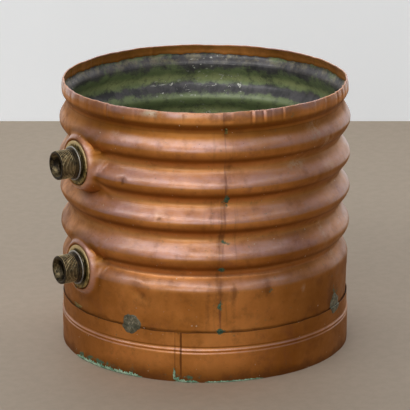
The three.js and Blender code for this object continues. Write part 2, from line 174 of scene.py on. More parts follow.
def bell(x, middle, half_width):
    return np.exp(-(((x - middle) / half_width) ** 2))


def around(azimuth, centre):
    return (azimuth - centre + 180) % 360 - 180


def ripples(turn, *waves):
    """Each wave has a depth, how often it comes in a full turn, and where it starts."""
    return sum(depth * np.sin(count * turn + start) for depth, count, start in waves)

# %% [markdown]
# ## A flat sheet, and how it is rolled
# A grid primitive is the flat sheet. Its columns become azimuths and its rows heights. Both
# may be crowded where the form needs more faces, as round a boss or in a sharp groove, by
# stepping evenly through the running sum of a density.

# %% Flat sheet and roll
def crowded_steps(start, end, count, density):
    fine = np.linspace(start, end, 4001)
    run = np.concatenate([[0], np.cumsum(density((fine[1:] + fine[:-1]) / 2))])
    return np.interp(np.linspace(0, run[-1], count + 1), run, fine)


def flat_sheet(name, columns, rows):
    start_fresh()
    bpy.ops.mesh.primitive_grid_add(x_subdivisions=columns, y_subdivisions=rows, size=1)
    sheet = bpy.context.object
    sheet.name = name
    co = places(sheet)
    column = np.rint((co[:, 0] + 0.5) * columns).astype(int)
    row = np.rint((co[:, 1] + 0.5) * rows).astype(int)
    return sheet, column, row


def rolled(azimuth, radius, height):
    turn = np.radians(azimuth)
    return np.stack([AXIS_X + radius * np.sin(turn), -radius * np.cos(turn), height], axis=1)


def lay_out_flat(sheet, across, up):
    corners = np.empty(len(sheet.data.loops), dtype=int)
    sheet.data.loops.foreach_get("vertex_index", corners)
    flat = np.stack([across[corners], up[corners]], axis=1)
    sheet.data.uv_layers.active.data.foreach_set("uv", flat.astype(np.float32).ravel())


MERGE_DISTANCE = 1e-6


def close_seam(sheet):
    edit(sheet)
    bpy.ops.mesh.remove_doubles(threshold=MERGE_DISTANCE)
    leave_edit()

# %% [markdown]
# Sheet gets its thickness last, from a Solidify modifier that works inwards. What is cast or
# has grown is made the same way and then closed, with its normals turned outwards.

# %% Thickness and smooth shading
SHEET_SMOOTH_ANGLE = 50
LUMP_SMOOTH_ANGLE = 60


def give_thickness(piece, thickness, even=False, inner_finish=0):
    select_only(piece)
    solidify = piece.modifiers.new("thickness", "SOLIDIFY")
    solidify.thickness = thickness
    solidify.offset = -1
    solidify.use_even_offset = even
    solidify.material_offset = inner_finish
    solidify.material_offset_rim = inner_finish
    bpy.ops.object.modifier_apply(modifier=solidify.name)


def smooth(piece, angle):
    bpy.ops.object.shade_smooth_by_angle(angle=radians(angle))
    print(piece.name, "has", len(piece.data.polygons), "faces")


def finish_solid(piece, angle=35):
    edit(piece)
    bpy.ops.mesh.remove_doubles(threshold=MERGE_DISTANCE)
    bpy.ops.mesh.normals_make_consistent(inside=False)
    leave_edit()
    smooth(piece, angle)

# %% [markdown]
# ## The barrel wall
# The wall is a profile turned round the barrel's axis: a plain foot, a shoulder, and four
# rolled ridges with narrow grooves between them. A ridge is a blend of a round crown and a
# wave, so its grooves stay narrow but not sharp.

# %% Profile of the wall
RIDGE_ROUNDNESS = 0.82
SHOULDER_ROUNDNESS = 0.2


def crown(t, roundness):
    wave = (1 + np.cos(np.pi * t)) / 2
    return (1 - roundness) * (1 - t * t) + roundness * wave


def wall_radius(height):
    radius = np.interp(
        height,
        [FOOT_HEIGHT, SKIRT_TOP, SHOULDER_HEIGHT],
        [FOOT_RADIUS, FOOT_RADIUS, SHOULDER_RADIUS],
    )
    low = GROOVE_HEIGHTS[0]
    t = (height - SHOULDER_HEIGHT) / (low - SHOULDER_HEIGHT)
    shoulder = GROOVE_RADIUS + (SHOULDER_RADIUS - GROOVE_RADIUS) * crown(t, SHOULDER_ROUNDNESS)
    radius = np.where((t > 0) & (t <= 1), shoulder, radius)
    for low, high in zip(GROOVE_HEIGHTS[:-1], GROOVE_HEIGHTS[1:]):
        top = NECK_RADIUS if high == NECK_HEIGHT else GROOVE_RADIUS
        t = 2 * (height - low) / (high - low) - 1
        base = GROOVE_RADIUS + (top - GROOVE_RADIUS) * (t + 1) / 2
        ridge = base + (RIDGE_RADIUS - base) * crown(t, RIDGE_ROUNDNESS)
        radius = np.where((t > -1) & (t <= 1), ridge, radius)
    return radius


print("crest and groove:", wall_radius(np.array([0.18, 0.1525])).round(4))

# %% [markdown]
# The seam runs nearly straight down the wall, a little off the vertical. Old sheet is never
# true: long shallow waves run through it, and a knock leaves a dent. Both are small moves of
# the radius, written as formulas of azimuth and height.

# %% Seam line, waves and dents
def seam_slant(height):
    return np.interp(height, [76 * MM, 115 * MM, 268 * MM], [-1.3, -1.3, 1.0])


# azimuth, height, half width round, half height, depth, lean of the dent (all but angles in mm)
DENTS = [
    (-66.0, 285, 3.6, 5.5, 3.2, 0.6),
    (-62.0, 287, 4, 4, -0.8, 0),
    (-50, 236.5, 4, 3.6, 1.3, 0),
    (-5.5, 130, 3.5, 12, 1.8, 0.1),
    (9, 137, 4, 6, 1.0, 0),
    (-58, 124, 15, 8, 2.8, -0.45),
    (-57, 140, 16, 5, -1.0, -0.3),
    (-40, 104, 34, 22, 1.0, 0),
    (-13, 96, 26, 20, 1.1, 0),
    (14, 116, 30, 14, 1.3, 0.25),
    (-93, 92, 22, 18, 1.2, 0.2),
    (16, 292, 22, 6, 1.0, 0.1),
    (-2, 335, 26, 8, 0.7, 0),
    (-48, 186, 20, 7, 0.7, 0.1),
    (-28, 238, 16, 6, -0.5, 0),
    (31, 196, 12, 7, 1.3, 0.4),
    (80, 300, 24, 16, 1.4, 0.2),
    (118, 190, 18, 14, 1.1, 0),
    (152, 108, 30, 18, 1.2, -0.2),
    (196, 240, 14, 12, 1.3, 0.3),
    (225, 105, 26, 16, 1.0, 0),
    (60, 112, 24, 14, 1.0, 0.2),
]
# how far the whole wall is set in, in mm, so that its waves stay within the solids' size
WALL_SET_IN = 0.6


def unevenness(azimuth, height):
    turn, z = np.radians(azimuth), height / MM
    move = ripples(turn, (0.22, 3, 0.021 * z + 1.1), (0.16, 7, -0.034 * z),
                   (0.13, 13, 0.05 * z + 2.2), (0.10, 23, 0.7 - 0.09 * z))
    move += 0.07 * np.sin(41 * turn + 0.13 * z + 4.0) * np.sin(0.11 * z + 3 * turn)
    move -= WALL_SET_IN
    for centre, level, wide, tall, depth, lean in DENTS:
        x = np.radians(around(azimuth, centre)) * RIDGE_RADIUS / MM
        y = z - level - lean * x
        move -= depth * np.exp(-((x / wide) ** 2) - (y / tall) ** 2)
    return move * MM


print(len(DENTS), "dents")

# %% [markdown]
# Age has marked the copper: water stains, scuffs and green spots in known places. A few of the
# stains are painted shade in dents and on the flank behind the bosses, and the scuffs at the top
# of the rim are painted highlights. Each mark is a soft spot in an attribute of the sheet, and the
# finishes further down give it its colour.

# %% Stains, scuffs and green spots, a few of them painted shade and painted highlights
# azimuth, height, half width, half height in mm, and how strong
# A few entries are painted shade: in dents on the ridges and below the lower boss, and over the flank
# behind the bosses.
STAINS_AND_SHADE = [
    (-22.6, 318, 4, 16, 0.6), (-23.4, 384, 7, 6, 0.8), (-24, 268, 4, 26, 0.55),
    (-25.5, 215, 5, 22, 0.6), (-26.2, 122, 5, 44, 0.6), (-29.5, 250, 4, 60, 0.4),
    (-20.5, 132, 3, 9, 0.8), (-21, 104, 4, 36, 0.45), (-31, 120, 3, 30, 0.4), (-7, 131, 4, 8, 0.7),
    (31.5, 86, 15, 14, 0.9), (28, 100, 8, 26, 0.5), (-62, 82, 17, 8, 0.4), (-57, 121, 9, 8, 0.9),
    (-50, 238, 3, 2, 0.7), (-65, 286, 3, 5, 0.9), (-88, 330, 30, 12, 0.5), (-92, 110, 34, 22, 0.4),
    (-116, 240, 60, 150, 0.6), (12, 90, 30, 12, 0.3), (48, 130, 30, 40, 0.3),
    (100, 120, 40, 30, 0.5), (150, 90, 50, 16, 0.5), (200, 130, 30, 50, 0.4),
    (130, 280, 6, 60, 0.5), (171, 240, 5, 80, 0.5), (214, 86, 16, 14, 0.6), (122, 86, 16, 14, 0.6),
]
# Most scuffs are real; those at the top of the rim, near azimuths -53 and -41, are painted highlights.
SCUFFS_AND_HIGHLIGHTS = [
    (17, 350, 14, 10, 0.7), (24, 330, 10, 14, 0.6), (7.6, 305, 14, 7, 0.9),
    (-53, 388.5, 17, 4.5, 1.5), (-41, 387, 9, 3, 0.7), (10, 122, 2.5, 5, 0.9),
    (12, 340, 20, 6, 0.4), (23, 195, 6, 16, 0.6), (-70, 352, 10, 4, 0.3), (34, 160, 8, 18, 0.5),
    (-50, 243, 6, 5, 0.6), (26, 290, 20, 6, 0.4), (140, 336, 30, 8, 0.6), (190, 180, 20, 8, 0.5),
    (90, 230, 24, 8, 0.5),
]
GREENS = [
    (-23.4, 266, 6, 8, 0.75), (-24.6, 203, 5, 5, 0.35), (-25.8, 165, 5, 5, 0.8),
    (-26.2, 114, 4, 7, 0.8), (-26, 76, 9, 4, 0.9), (-23.2, 318, 4, 18, 0.25),
    (31.5, 86, 14, 14, 0.65), (-6, 128, 4, 3, 0.5), (-40, 8, 40, 3, 0.4), (-80, 8, 60, 4, 0.55),
    (120, 8, 90, 5, 0.6), (214, 78, 18, 12, 0.5), (122, 78, 18, 12, 0.5), (-90, 100, 16, 5, 0.45),
    (160, 76, 60, 4, 0.5),
]


def marks(azimuth, height, listed):
    total = np.zeros_like(azimuth)
    for centre, level, wide, tall, amount in listed:
        x = np.radians(around(azimuth, centre)) * RIDGE_RADIUS / MM / wide
        total += amount * np.exp(-(x**2) - ((height / MM - level) / tall) ** 2)
    return total


print(len(STAINS_AND_SHADE), "stains,", len(SCUFFS_AND_HIGHLIGHTS), "scuffs,", len(GREENS), "green spots")

# %% [markdown]
# Other colours follow the ridges. Hands and cloths reach the upper faces of the ridges, which
# are worn bright, and the worn colour is laid where they turn up to the light, as a painted
# highlight. The steep undersides carry painted shade, darkest 13 mm above each groove, and the
# groove itself is painted lighter and golden. Inside, a slate film and green patina take turns.

# %% Bands of colour that follow the ridges
# how far above a groove the middle of each band lies, and its half height
# DARK_BAND and GREY_BAND place painted shade, GOLDEN_BAND places painted light in the groove bottoms,
# and FILM_BAND and LEAF_BAND place the patina inside.
DARK_BAND = (13.5 * MM, 5 * MM)
GREY_BAND = (-7 * MM, 5 * MM)
GOLDEN_BAND = (3 * MM, 5 * MM)
FILM_BAND = (15 * MM, 8.5 * MM)
LEAF_BAND = (5 * MM, 8 * MM)
# the lowest groove is shallow on its lower side, so its golden band lies higher
LOWEST_BAND_LIFT = 6 * MM
GROOVES = GROOVE_HEIGHTS[:-1]


def bands(height, band, levels=GROOVES):
    lift, half_height = band
    return sum(bell(height, level + lift, half_height) for level in levels)


def lean_of_wall(height, step=0.5 * MM):
    return (wall_radius(height + step) - wall_radius(height - step)) / (2 * step)


def below_rim(height):
    return smoothstep(height, 344 * MM, 357 * MM)


def crest_share(height):
    # Painted highlight: the worn colour goes where the wall faces up to the light, onto a band below
    # the shoulder and along the lowest groove. Under the rim it is cut back, as painted shade.
    facing_up = smoothstep(-lean_of_wall(height), -0.2, 0.35)
    far_out = smoothstep(wall_radius(height), GROOVE_RADIUS, RIDGE_RADIUS - 5 * MM)
    on_shoulder = smoothstep(height, SHOULDER_HEIGHT - 16 * MM, SHOULDER_HEIGHT + 6 * MM)
    on_shoulder = on_shoulder * (1 - 0.3 * (height < GROOVES[0]))
    worn_and_lit = facing_up * (0.45 + 0.55 * far_out) * on_shoulder * (1 - 0.65 * below_rim(height))
    on_ledge = 0.5 * bell(height, GROOVES[0] + 1 * MM, 5 * MM)
    return np.maximum(worn_and_lit, on_ledge)


def underside(height):
    # Painted shade: the undersides that hang out, a band just below each groove, the top ridge under
    # the rim, and most of all a band 13 mm above each groove.
    hanging = np.clip(lean_of_wall(height) / 0.8, 0, 1)
    dull = 0.3 * hanging + 0.4 * bands(height, GREY_BAND) + 0.7 * below_rim(height)
    return np.maximum(1.1 * bands(height, DARK_BAND), dull)

# %% [markdown]
# The right flank and the flank behind the bosses are painted in shade: their colour is darkened,
# and they get less of the worn colour, which is partly a painted highlight.

# %% Painted shade on the flanks, and the attributes of a sheet
def painted_shade_side(azimuth):
    turn = around(azimuth, 0)
    return smoothstep(turn, -22, 20) * (1 - smoothstep(turn, 90, 150))


# Painted shade on the right flank and on the flank behind the bosses.
def flank_shade(azimuth):
    turn = -around(azimuth, 0)
    boss_side = smoothstep(turn, 64, 88) * (1 - smoothstep(turn, 112, 150))
    return np.maximum(0.8 * painted_shade_side(azimuth), 0.7 * boss_side)


# Less of the worn colour, which is partly a painted highlight, on the flanks painted in shade.
def rubbed_and_lit(azimuth):
    behind_bosses = smoothstep(-around(azimuth, 0), 70, 100)
    return (1 - 0.65 * behind_bosses) * (1 - 0.18 * painted_shade_side(azimuth))


# Darker along the top edge of the skirt: dirt in the gap, and painted shade under the edge.
def dirt_and_shade_at_skirt(height):
    return bell(height, SKIRT_TOP, 1.8 * MM)


# Painted shade on the wall: undersides, flanks and the skirt's top edge, the last with some dirt.
def wall_shade(azimuth, height):
    shaded = flank_shade(azimuth) * (1 - 0.8 * crest_share(height))
    return np.maximum(np.maximum(underside(height), dirt_and_shade_at_skirt(height)), shaded)


def note_marks(sheet, azimuth, height, under, more_stain_and_shade):
    golden = [GROOVES[0] + LOWEST_BAND_LIFT, *GROOVES[1:]]
    middles = [(low + high) / 2 for low, high in zip(GROOVE_HEIGHTS[:-1], GROOVE_HEIGHTS[1:])]
    film_at_neck = bell(height, NECK_HEIGHT + 5 * MM, 15 * MM)
    note(sheet, "film", bands(height, FILM_BAND) + film_at_neck)
    # The hollow attribute places painted light in the groove bottoms.
    note(sheet, "hollow", bands(height, GOLDEN_BAND, golden))
    note(sheet, "leaf", bands(height, LEAF_BAND, middles))
    # The under attribute holds painted shade, with some real dirt at the skirt's edge and in its lap.
    note(sheet, "under", under)
    note(sheet, "stain_and_shade", marks(azimuth, height, STAINS_AND_SHADE) + more_stain_and_shade)
    note(sheet, "scuff_and_highlight", marks(azimuth, height, SCUFFS_AND_HIGHLIGHTS))
    note(sheet, "green", marks(azimuth, height, GREENS))


ridge_middle = np.array([(GROOVES[0] + GROOVES[1]) / 2])
print("worn share on the lowest ridge:", crest_share(ridge_middle).round(2))

# %% [markdown]
# The two seats are pressed out of the wall: a flat floor for the flange ring, a raised lip
# round it, and a flare that runs out into the ridges. To follow a circle, the square rings of
# the grid round a boss are turned into round ones, and further out they ease back into the
# grid. The seat then takes the higher of its own form and the wall's, with a soft corner.

# %% Seats of the bosses
BOSSES = {
    "upper": (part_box("upper_flange_ring")[0].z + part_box("upper_flange_ring")[1].z) / 2,
    "lower": (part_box("lower_flange_ring")[0].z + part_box("lower_flange_ring")[1].z) / 2,
}
SEAT_REACH = {name: AXIS_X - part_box(name + "_flange_ring")[1].x - GAP for name in BOSSES}
# radius from the axis of the boss, and height over the floor of the seat, both in mm
SEAT_RINGS = [
    (21.0, 0), (27.0, 0), (31.4, 0), (32.2, 0.3), (32.7, 1.5), (33.3, 2.5), (34.2, 3.1),
    (35.4, 3.0), (36.8, 2.2), (38.2, 0.9), (39.4, -0.9), (40.6, -3.6), (42.6, -9), (47.5, -18),
]
FIRST_RING = 8
LAST_RING = 24
SEAT_LIP_RADIUS = 37.5 * MM
SEAT_FLARE_RADIUS = 46 * MM
WALL_COLUMNS = 330
WALL_ROWS = 118
print("seats reach", {name: round(r, 4) for name, r in SEAT_REACH.items()})


def ring_angle(right, up, ring):
    quarter = pi / 4
    angle = np.where(right == ring, quarter * up / ring, pi - quarter * up / ring)
    angle = np.where(up == ring, pi / 2 - quarter * right / ring, angle)
    return np.where(up == -ring, -pi / 2 + quarter * right / ring, angle)


def soft_highest(a, b, softness=5 * MM):
    share = np.clip(0.5 + 0.5 * (a - b) / softness, 0, 1)
    return b + (a - b) * share + softness * share * (1 - share)


def press_seats(co, column, row, middle_column, middle_rows):
    pressed, ring_of, corner = co.copy(), np.full(len(co), 999), np.zeros(len(co))
    for name, level in BOSSES.items():
        right, up = column - middle_column, row - middle_rows[name]
        ring = np.maximum(np.maximum(abs(right), abs(up)), 1)
        near = ring < LAST_RING
        angle = ring_angle(right, up, ring)
        size, over = np.array(SEAT_RINGS).T * MM
        at = ring - FIRST_RING
        radius = np.interp(at, range(len(size)), size)
        radius = np.where(at > len(size) - 1, size[-1] * (1 + 0.12 * (at - len(size) + 1)), radius)
        circle_y, circle_z = -radius * np.cos(angle), level + radius * np.sin(angle)
        ease = smoothstep(ring, FIRST_RING + len(size) - 4, LAST_RING)
        y = circle_y * (1 - ease) + co[:, 1] * ease
        z = circle_z * (1 - ease) + co[:, 2] * ease
        out = np.hypot(y, z - level)
        turn = np.degrees(np.arctan2(-np.sqrt(np.clip(RIDGE_RADIUS**2 - y**2, 0, None)), -y))
        bare = wall_radius(z) + unevenness(turn, z)
        reach_of_wall = np.sqrt(np.clip(bare**2 - y**2, 0, None))
        flare = SEAT_REACH[name] + np.interp(out, size, over)
        flare = np.where(out > size[-1], flare - 1.4 * (out - size[-1]), flare)
        reach = np.where(out < size[6], flare, soft_highest(flare, reach_of_wall))
        made = np.stack([AXIS_X - reach, y, z], axis=1)
        # the corner where the flare meets the wall, which the wall later darkens as painted shade
        blend = np.clip(0.5 + 0.5 * (flare - reach_of_wall) / (5 * MM), 0, 1)
        blend = 4 * blend * (1 - blend) * (out > size[9])
        pressed[near] = made[near]
        ring_of[near] = ring[near]
        corner[near] = blend[near]
    return pressed, ring_of, corner

# %% The wall as one sheet
def wall_columns():
    start, end = SEAM_AZIMUTH, SEAM_AZIMUTH + 360

    def density(azimuth):
        near_boss = np.exp(-(around(azimuth, BOSS_AZIMUTH) / 20) ** 6)
        near_seam = bell(around(azimuth, SEAM_AZIMUTH), 0, 5)
        return 1 + 0.62 * near_boss + 0.8 * near_seam

    return crowded_steps(start, end, WALL_COLUMNS, density)


def wall_rows():
    def density(height):
        return 1 + 0.5 * sum(bell(height, groove, 6 * MM) for groove in GROOVE_HEIGHTS)

    return crowded_steps(FOOT_HEIGHT, NECK_HEIGHT, WALL_ROWS, density)


def barrel_wall():
    wall, column, row = flat_sheet("barrel_wall", WALL_COLUMNS, WALL_ROWS)
    azimuths, heights = wall_columns(), wall_rows()
    middle_column = int(np.argmin(abs(around(azimuths, BOSS_AZIMUTH))))
    middle_rows = {name: int(np.argmin(abs(heights - z))) for name, z in BOSSES.items()}
    print("boss column", middle_column, "rows", middle_rows, "of", WALL_ROWS)
    height = heights[row]
    near_seam = bell(around(azimuths, SEAM_AZIMUTH), 0, 12)[column]
    azimuth = azimuths[column] + seam_slant(height) * near_seam
    radius = wall_radius(height) + unevenness(azimuth, height)
    flat_wall = rolled(azimuth, radius, height)
    co, ring, corner = press_seats(flat_wall, column, row, middle_column, middle_rows)
    put(wall, co)
    across = np.radians(azimuths[column] - SEAM_AZIMUTH) * RIDGE_RADIUS
    lay_out_flat(wall, across, co[:, 2])
    # Painted highlight and shade round the seats: the lip gets more worn colour and no shade, and the
    # flare round it and its corner with the wall are darkened.
    lip, flare = np.zeros(len(co)), np.zeros(len(co))
    for level in BOSSES.values():
        out = np.where(co[:, 0] < AXIS_X, np.hypot(co[:, 1], co[:, 2] - level), 1)
        lip += bell(out, SEAT_LIP_RADIUS, 3.5 * MM)
        flare += bell(out, SEAT_FLARE_RADIUS, 7 * MM)
    crest = crest_share(co[:, 2]) * rubbed_and_lit(azimuth)
    note(wall, "crest", np.maximum(crest, lip))
    under = np.maximum(np.maximum(wall_shade(azimuth, height), 0.6 * corner), 0.9 * flare)
    under = under * (1 - np.clip(lip, 0, 1))
    note_marks(wall, azimuth, height, under, 0.5 * dirt_and_shade_at_skirt(height))
    select_only(wall)
    pick(wall, ring < FIRST_RING)
    bpy.ops.object.mode_set(mode="EDIT")
    bpy.ops.mesh.delete(type="VERT")
    leave_edit()
    close_seam(wall)
    return wall


wall = barrel_wall()

# %% [markdown]
# ## The rim
# Above the neck the sheet widens into a plain band and is folded inwards and down, so that no
# cut edge is left to catch a hand. Folding it round the circle puckers it: the band has fine
# upright flutes, a few sharp creases, and inside, the cut edge hangs unevenly.

# %% Path of the rim
RIM_COLUMNS = 960
HEM_DEPTH = 15 * MM
FOLD_RADIUS = 1.25 * MM
LEAN_IN = 1.8 * MM
# azimuth, half width in degrees, depth in mm
CREASES = [
    (-13.6, 0.5, 1.5), (-12.5, 0.5, -0.8), (-8.9, 0.5, 1.7), (-7.8, 0.6, -0.8), (-5.4, 0.4, 0.8),
    (-0.6, 0.5, 1.1), (0.6, 0.5, -0.5), (3.6, 0.7, 0.6), (8.0, 0.6, 0.8), (12.5, 0.6, 0.6),
    (17, 0.8, 0.9), (24, 0.9, 0.8), (33, 0.8, 1.2), (38, 0.8, 1.4), (43, 0.9, 1.3),
    (49, 0.9, 1.0), (-73.7, 0.7, 1.4), (-72.2, 0.7, -0.8), (-23.5, 1.4, 0.9), (-41, 0.9, 0.7),
    (-52, 1.0, 0.8), (-60, 1.2, 0.6), (-84, 1.2, 0.5), (-91, 1.6, 0.9), (-98, 1.5, 1.1),
    (-106, 1.4, 0.8), (95, 1.2, 1.2), (132, 0.8, 1.0), (148, 1.0, 0.7), (171, 1.0, 1.1),
    (188, 0.9, 0.8), (205, 0.8, 1.0), (221, 0.9, 0.7),
]
# azimuth and half width in degrees of the places where hands and lids have rubbed the band
HANDLED = [
    (-65, 9), (-44, 4), (-26, 6), (-7, 7), (14, 6), (-100, 5), (60, 12), (120, 15), (200, 12),
]
# rows of the path: the neck runs up to row 8, the band to row 15, the fold to row 21
NECK_ROW, BAND_TOP_ROW, HEM_ROW = 8, 15, 22


def rim_path():
    t = np.linspace(0, 1, 9)
    neck_r = NECK_RADIUS + (RIM_RADIUS - NECK_RADIUS) * (1 - np.cos(np.pi * t)) / 2
    neck_z = NECK_HEIGHT + (RIM_BAND_BASE - NECK_HEIGHT) * t
    fold_z = RIM_TOP - FOLD_RADIUS
    band_z = np.linspace(RIM_BAND_BASE, fold_z, 8)[1:]
    bend = np.radians([30, 60, 90, 120, 150, 180])
    fold_r = RIM_RADIUS - FOLD_RADIUS + FOLD_RADIUS * np.cos(bend)
    leg_z = np.linspace(fold_z, RIM_TOP - HEM_DEPTH, 8)[1:]
    radius = [*neck_r, *(RIM_RADIUS + 0 * band_z), *fold_r, *(RIM_RADIUS - 2 * FOLD_RADIUS + 0 * leg_z)]
    height = np.array([*neck_z, *band_z, *(fold_z + FOLD_RADIUS * np.sin(bend)), *leg_z])
    leaning_in = LEAN_IN * np.clip((height - 382 * MM) / (RIM_TOP - 382 * MM), 0, 1) ** 2
    return np.array(radius) - leaning_in, height

# %% [markdown]
# Fine flutes come and go round the band, long shallow waves run under them, and the creases
# are single sharp folds. The cut edge of the hem was never trimmed straight.

# %% The rim as one band
def flutes(azimuth):
    turn = np.radians(azimuth)
    beat = 0.5 + 0.5 * np.sin(4 * turn + 1.0) * np.sin(9 * turn + 2.0)
    fine = ripples(turn, (0.15, 151, 0), (0.17, 83, 1), (0.09, 207, 2))
    slow = ripples(turn, (0.35, 11, 2), (0.25, 29, 0), (0.15, 47, 1))
    return 0.45 * fine * (0.1 + beat) + slow


def creases(azimuth):
    return sum(-depth * bell(around(azimuth, a), 0, wide) for a, wide, depth in CREASES)


def ragged(azimuth):
    wander = ((0.85, 5, 0), (0.55, 13, 0), (0.5, 22, 1))
    nicks = ((0.35, 37, 2), (0.3, 61, 0), (0.3, 97, 1))
    return ripples(np.radians(azimuth), *wander, *nicks) * MM


def rim_band():
    path_r, path_z = rim_path()
    last_row = len(path_r) - 1
    rim, column, row = flat_sheet("rim_band", RIM_COLUMNS, last_row)
    azimuth = SEAM_AZIMUTH + 360 * column / RIM_COLUMNS
    radius, height = path_r[row], path_z[row]
    on_band = smoothstep(height, NECK_HEIGHT + 5 * MM, RIM_BAND_BASE + 6 * MM)
    pucker = (flutes(azimuth) + creases(azimuth)) * MM * on_band
    radius = radius + unevenness(azimuth, height) * (1 - on_band) + pucker - 0.5 * MM * on_band
    on_top = smoothstep(height, RIM_BAND_BASE, RIM_TOP)
    sway = ripples(np.radians(azimuth), (0.35, 6, 2), (0.25, 17, 0), (0.12, 53, 0))
    height = height + (sway - 0.75) * MM * on_top
    height = height + ragged(azimuth) * smoothstep(row, HEM_ROW - 1, last_row)
    put(rim, rolled(azimuth, radius, height))
    lay_out_flat(rim, np.radians(azimuth - SEAM_AZIMUTH) * RIM_RADIUS, path_z[row])
    handled = 0.6 + sum(0.45 * bell(around(azimuth, a), 0, wide) for a, wide in HANDLED)
    outside = smoothstep(row, NECK_ROW - 1, BAND_TOP_ROW) * (row < HEM_ROW) * handled
    note(rim, "crest", outside + 0.15 * (row >= HEM_ROW))
    # The hem is darker inside, and a painted shadow lies along its cut edge; the neck groove below the
    # band is darkened as painted shade.
    hem = 0.15 + 0.75 * smoothstep(row, last_row - 2, last_row)
    neck = np.maximum(0.7, smoothstep(row, 0, 3)) * (1 - smoothstep(row, 6, 9))
    note_marks(rim, azimuth, height, np.where(row >= HEM_ROW + 2, hem, neck), 0)
    close_seam(rim)
    return rim


rim = rim_band()

# %% [markdown]
# ## The base skirt
# The skirt is a strip that goes once round the foot and laps over itself. A joggle, a small
# step that is rolled into the strip, stiffens it and lets its upper band lie on the wall.

# %% Form of the skirt
SKIRT_BAND_RADIUS = FOOT_RADIUS + GAP + SHEET
LAP_AZIMUTH = -40.9
LAP_WIDTH = 4.3
LAP_LIFT = 1.3 * MM
SKIRT_COLUMNS = 440
SKIRT_ROWS = 52
# where each small step of the joggle begins and ends, and how far it goes out, all in mm
JOGGLE_STEPS = [(50.3, 47.2, 1.45), (46.8, 45.2, -1.2), (44.8, 42.2, 1.15)]
JOGGLE_MIDDLE = 48.5 * MM
CREASE_HEIGHT = 51.8 * MM
CREASE_DEPTH = 0.4 * MM


def skirt_radius(height):
    radius = SKIRT_BAND_RADIUS + 0 * height
    for upper, lower, out in JOGGLE_STEPS:
        radius = radius + out * MM * (1 - smoothstep(height, lower * MM, upper * MM))
    return radius - CREASE_DEPTH * bell(height, CREASE_HEIGHT, 1.2 * MM)


def lap_lift(azimuth):
    past = azimuth - (LAP_AZIMUTH + LAP_WIDTH + 1)
    return LAP_LIFT * (1 - smoothstep(past, 0, 24))


print("skirt at top and foot:", skirt_radius(np.array([SKIRT_TOP, 0])).round(4))

# %% [markdown]
# The strip's grid is denser at the lap and at the joggle. Its two ends lie on each other there:
# the upper one is lifted, the lower one shows a crease and a small notch beside it.

# %% Base skirt
def denser_at_lap(azimuth):
    return 1 + 6.0 * bell(around(azimuth, LAP_AZIMUTH - 1), 0, 3)


def denser_at_joggle(height):
    return 1 + 2.8 * bell(height, JOGGLE_MIDDLE, 6 * MM)


def base_skirt():
    skirt, column, row = flat_sheet("skirt_strip", SKIRT_COLUMNS, SKIRT_ROWS)
    end = LAP_AZIMUTH + LAP_WIDTH + 360
    azimuth = crowded_steps(LAP_AZIMUTH, end, SKIRT_COLUMNS, denser_at_lap)[column]
    height = crowded_steps(0, SKIRT_TOP, SKIRT_ROWS, denser_at_joggle)[row]
    turn = np.radians(azimuth)
    waves = ripples(turn, (0.25, 8, 1), (0.2, 19, 0), (0.12, 37, 2))
    low = 1 - smoothstep(height, 10 * MM, 45 * MM)
    under_end = azimuth > LAP_AZIMUTH + 350
    crease = under_end * bell(around(azimuth, LAP_AZIMUTH - 2.8), 0, 0.25)
    notch = under_end * bell(around(azimuth, LAP_AZIMUTH - 1.3), 0, 0.4)
    radius = skirt_radius(height) + lap_lift(azimuth) - 0.35 * MM * crease
    radius = radius + (waves - 0.4) * MM * (0.35 + 0.65 * low)
    top_line = ripples(turn, (0.35, 9, 0), (0.25, 31, 1)) - 0.6 - 2.6 * notch
    at_top = smoothstep(height, 60 * MM, SKIRT_TOP)
    put(skirt, rolled(azimuth, radius, height + top_line * MM * at_top))
    lay_out_flat(skirt, np.radians(azimuth - LAP_AZIMUTH) * RIDGE_RADIUS + 0.2, height)
    # Painted highlight: the faces of the joggle that turn upwards get the worn colour.
    drop = skirt_radius(height - 0.2 * MM) - skirt_radius(height + 0.2 * MM)
    facing_up = np.clip(drop / (0.3 * MM), 0, 1)
    note(skirt, "crest", facing_up)
    dirt_in_lap = under_end * bell(around(azimuth, LAP_AZIMUTH - 0.3), 0, 0.4)
    # Painted shade: darker towards the foot, in the crease above the joggle and on the shaded flanks;
    # the dark lap is dirt.
    foot = 1 - smoothstep(height, 0, 34 * MM)
    in_crease = bell(height, CREASE_HEIGHT, 1.1 * MM)
    shaded = 0.9 * np.maximum(flank_shade(azimuth), in_crease) * (1 - facing_up)
    under = np.maximum(np.maximum(0.9 * foot, dirt_in_lap), shaded)
    stain_and_shade = 2.5 * dirt_in_lap + 0.7 * crease + 0.8 * foot**4
    note_marks(skirt, azimuth, height, under, stain_and_shade)
    return skirt


skirt = base_skirt()

# %% [markdown]
# ## Turned brass
# The rings and washers of a boss are turned on a lathe. Each starts as a small plane in the
# place of its section, gets its corners bevelled, and is spun once round the axis of the boss.
# The plane's own face is taken out first, so that no wall is left inside the ring.

# %% A ring turned round the axis of a boss
BOSS_STEPS = 96
WASHER_STANDS_OFF = 4.0 * MM


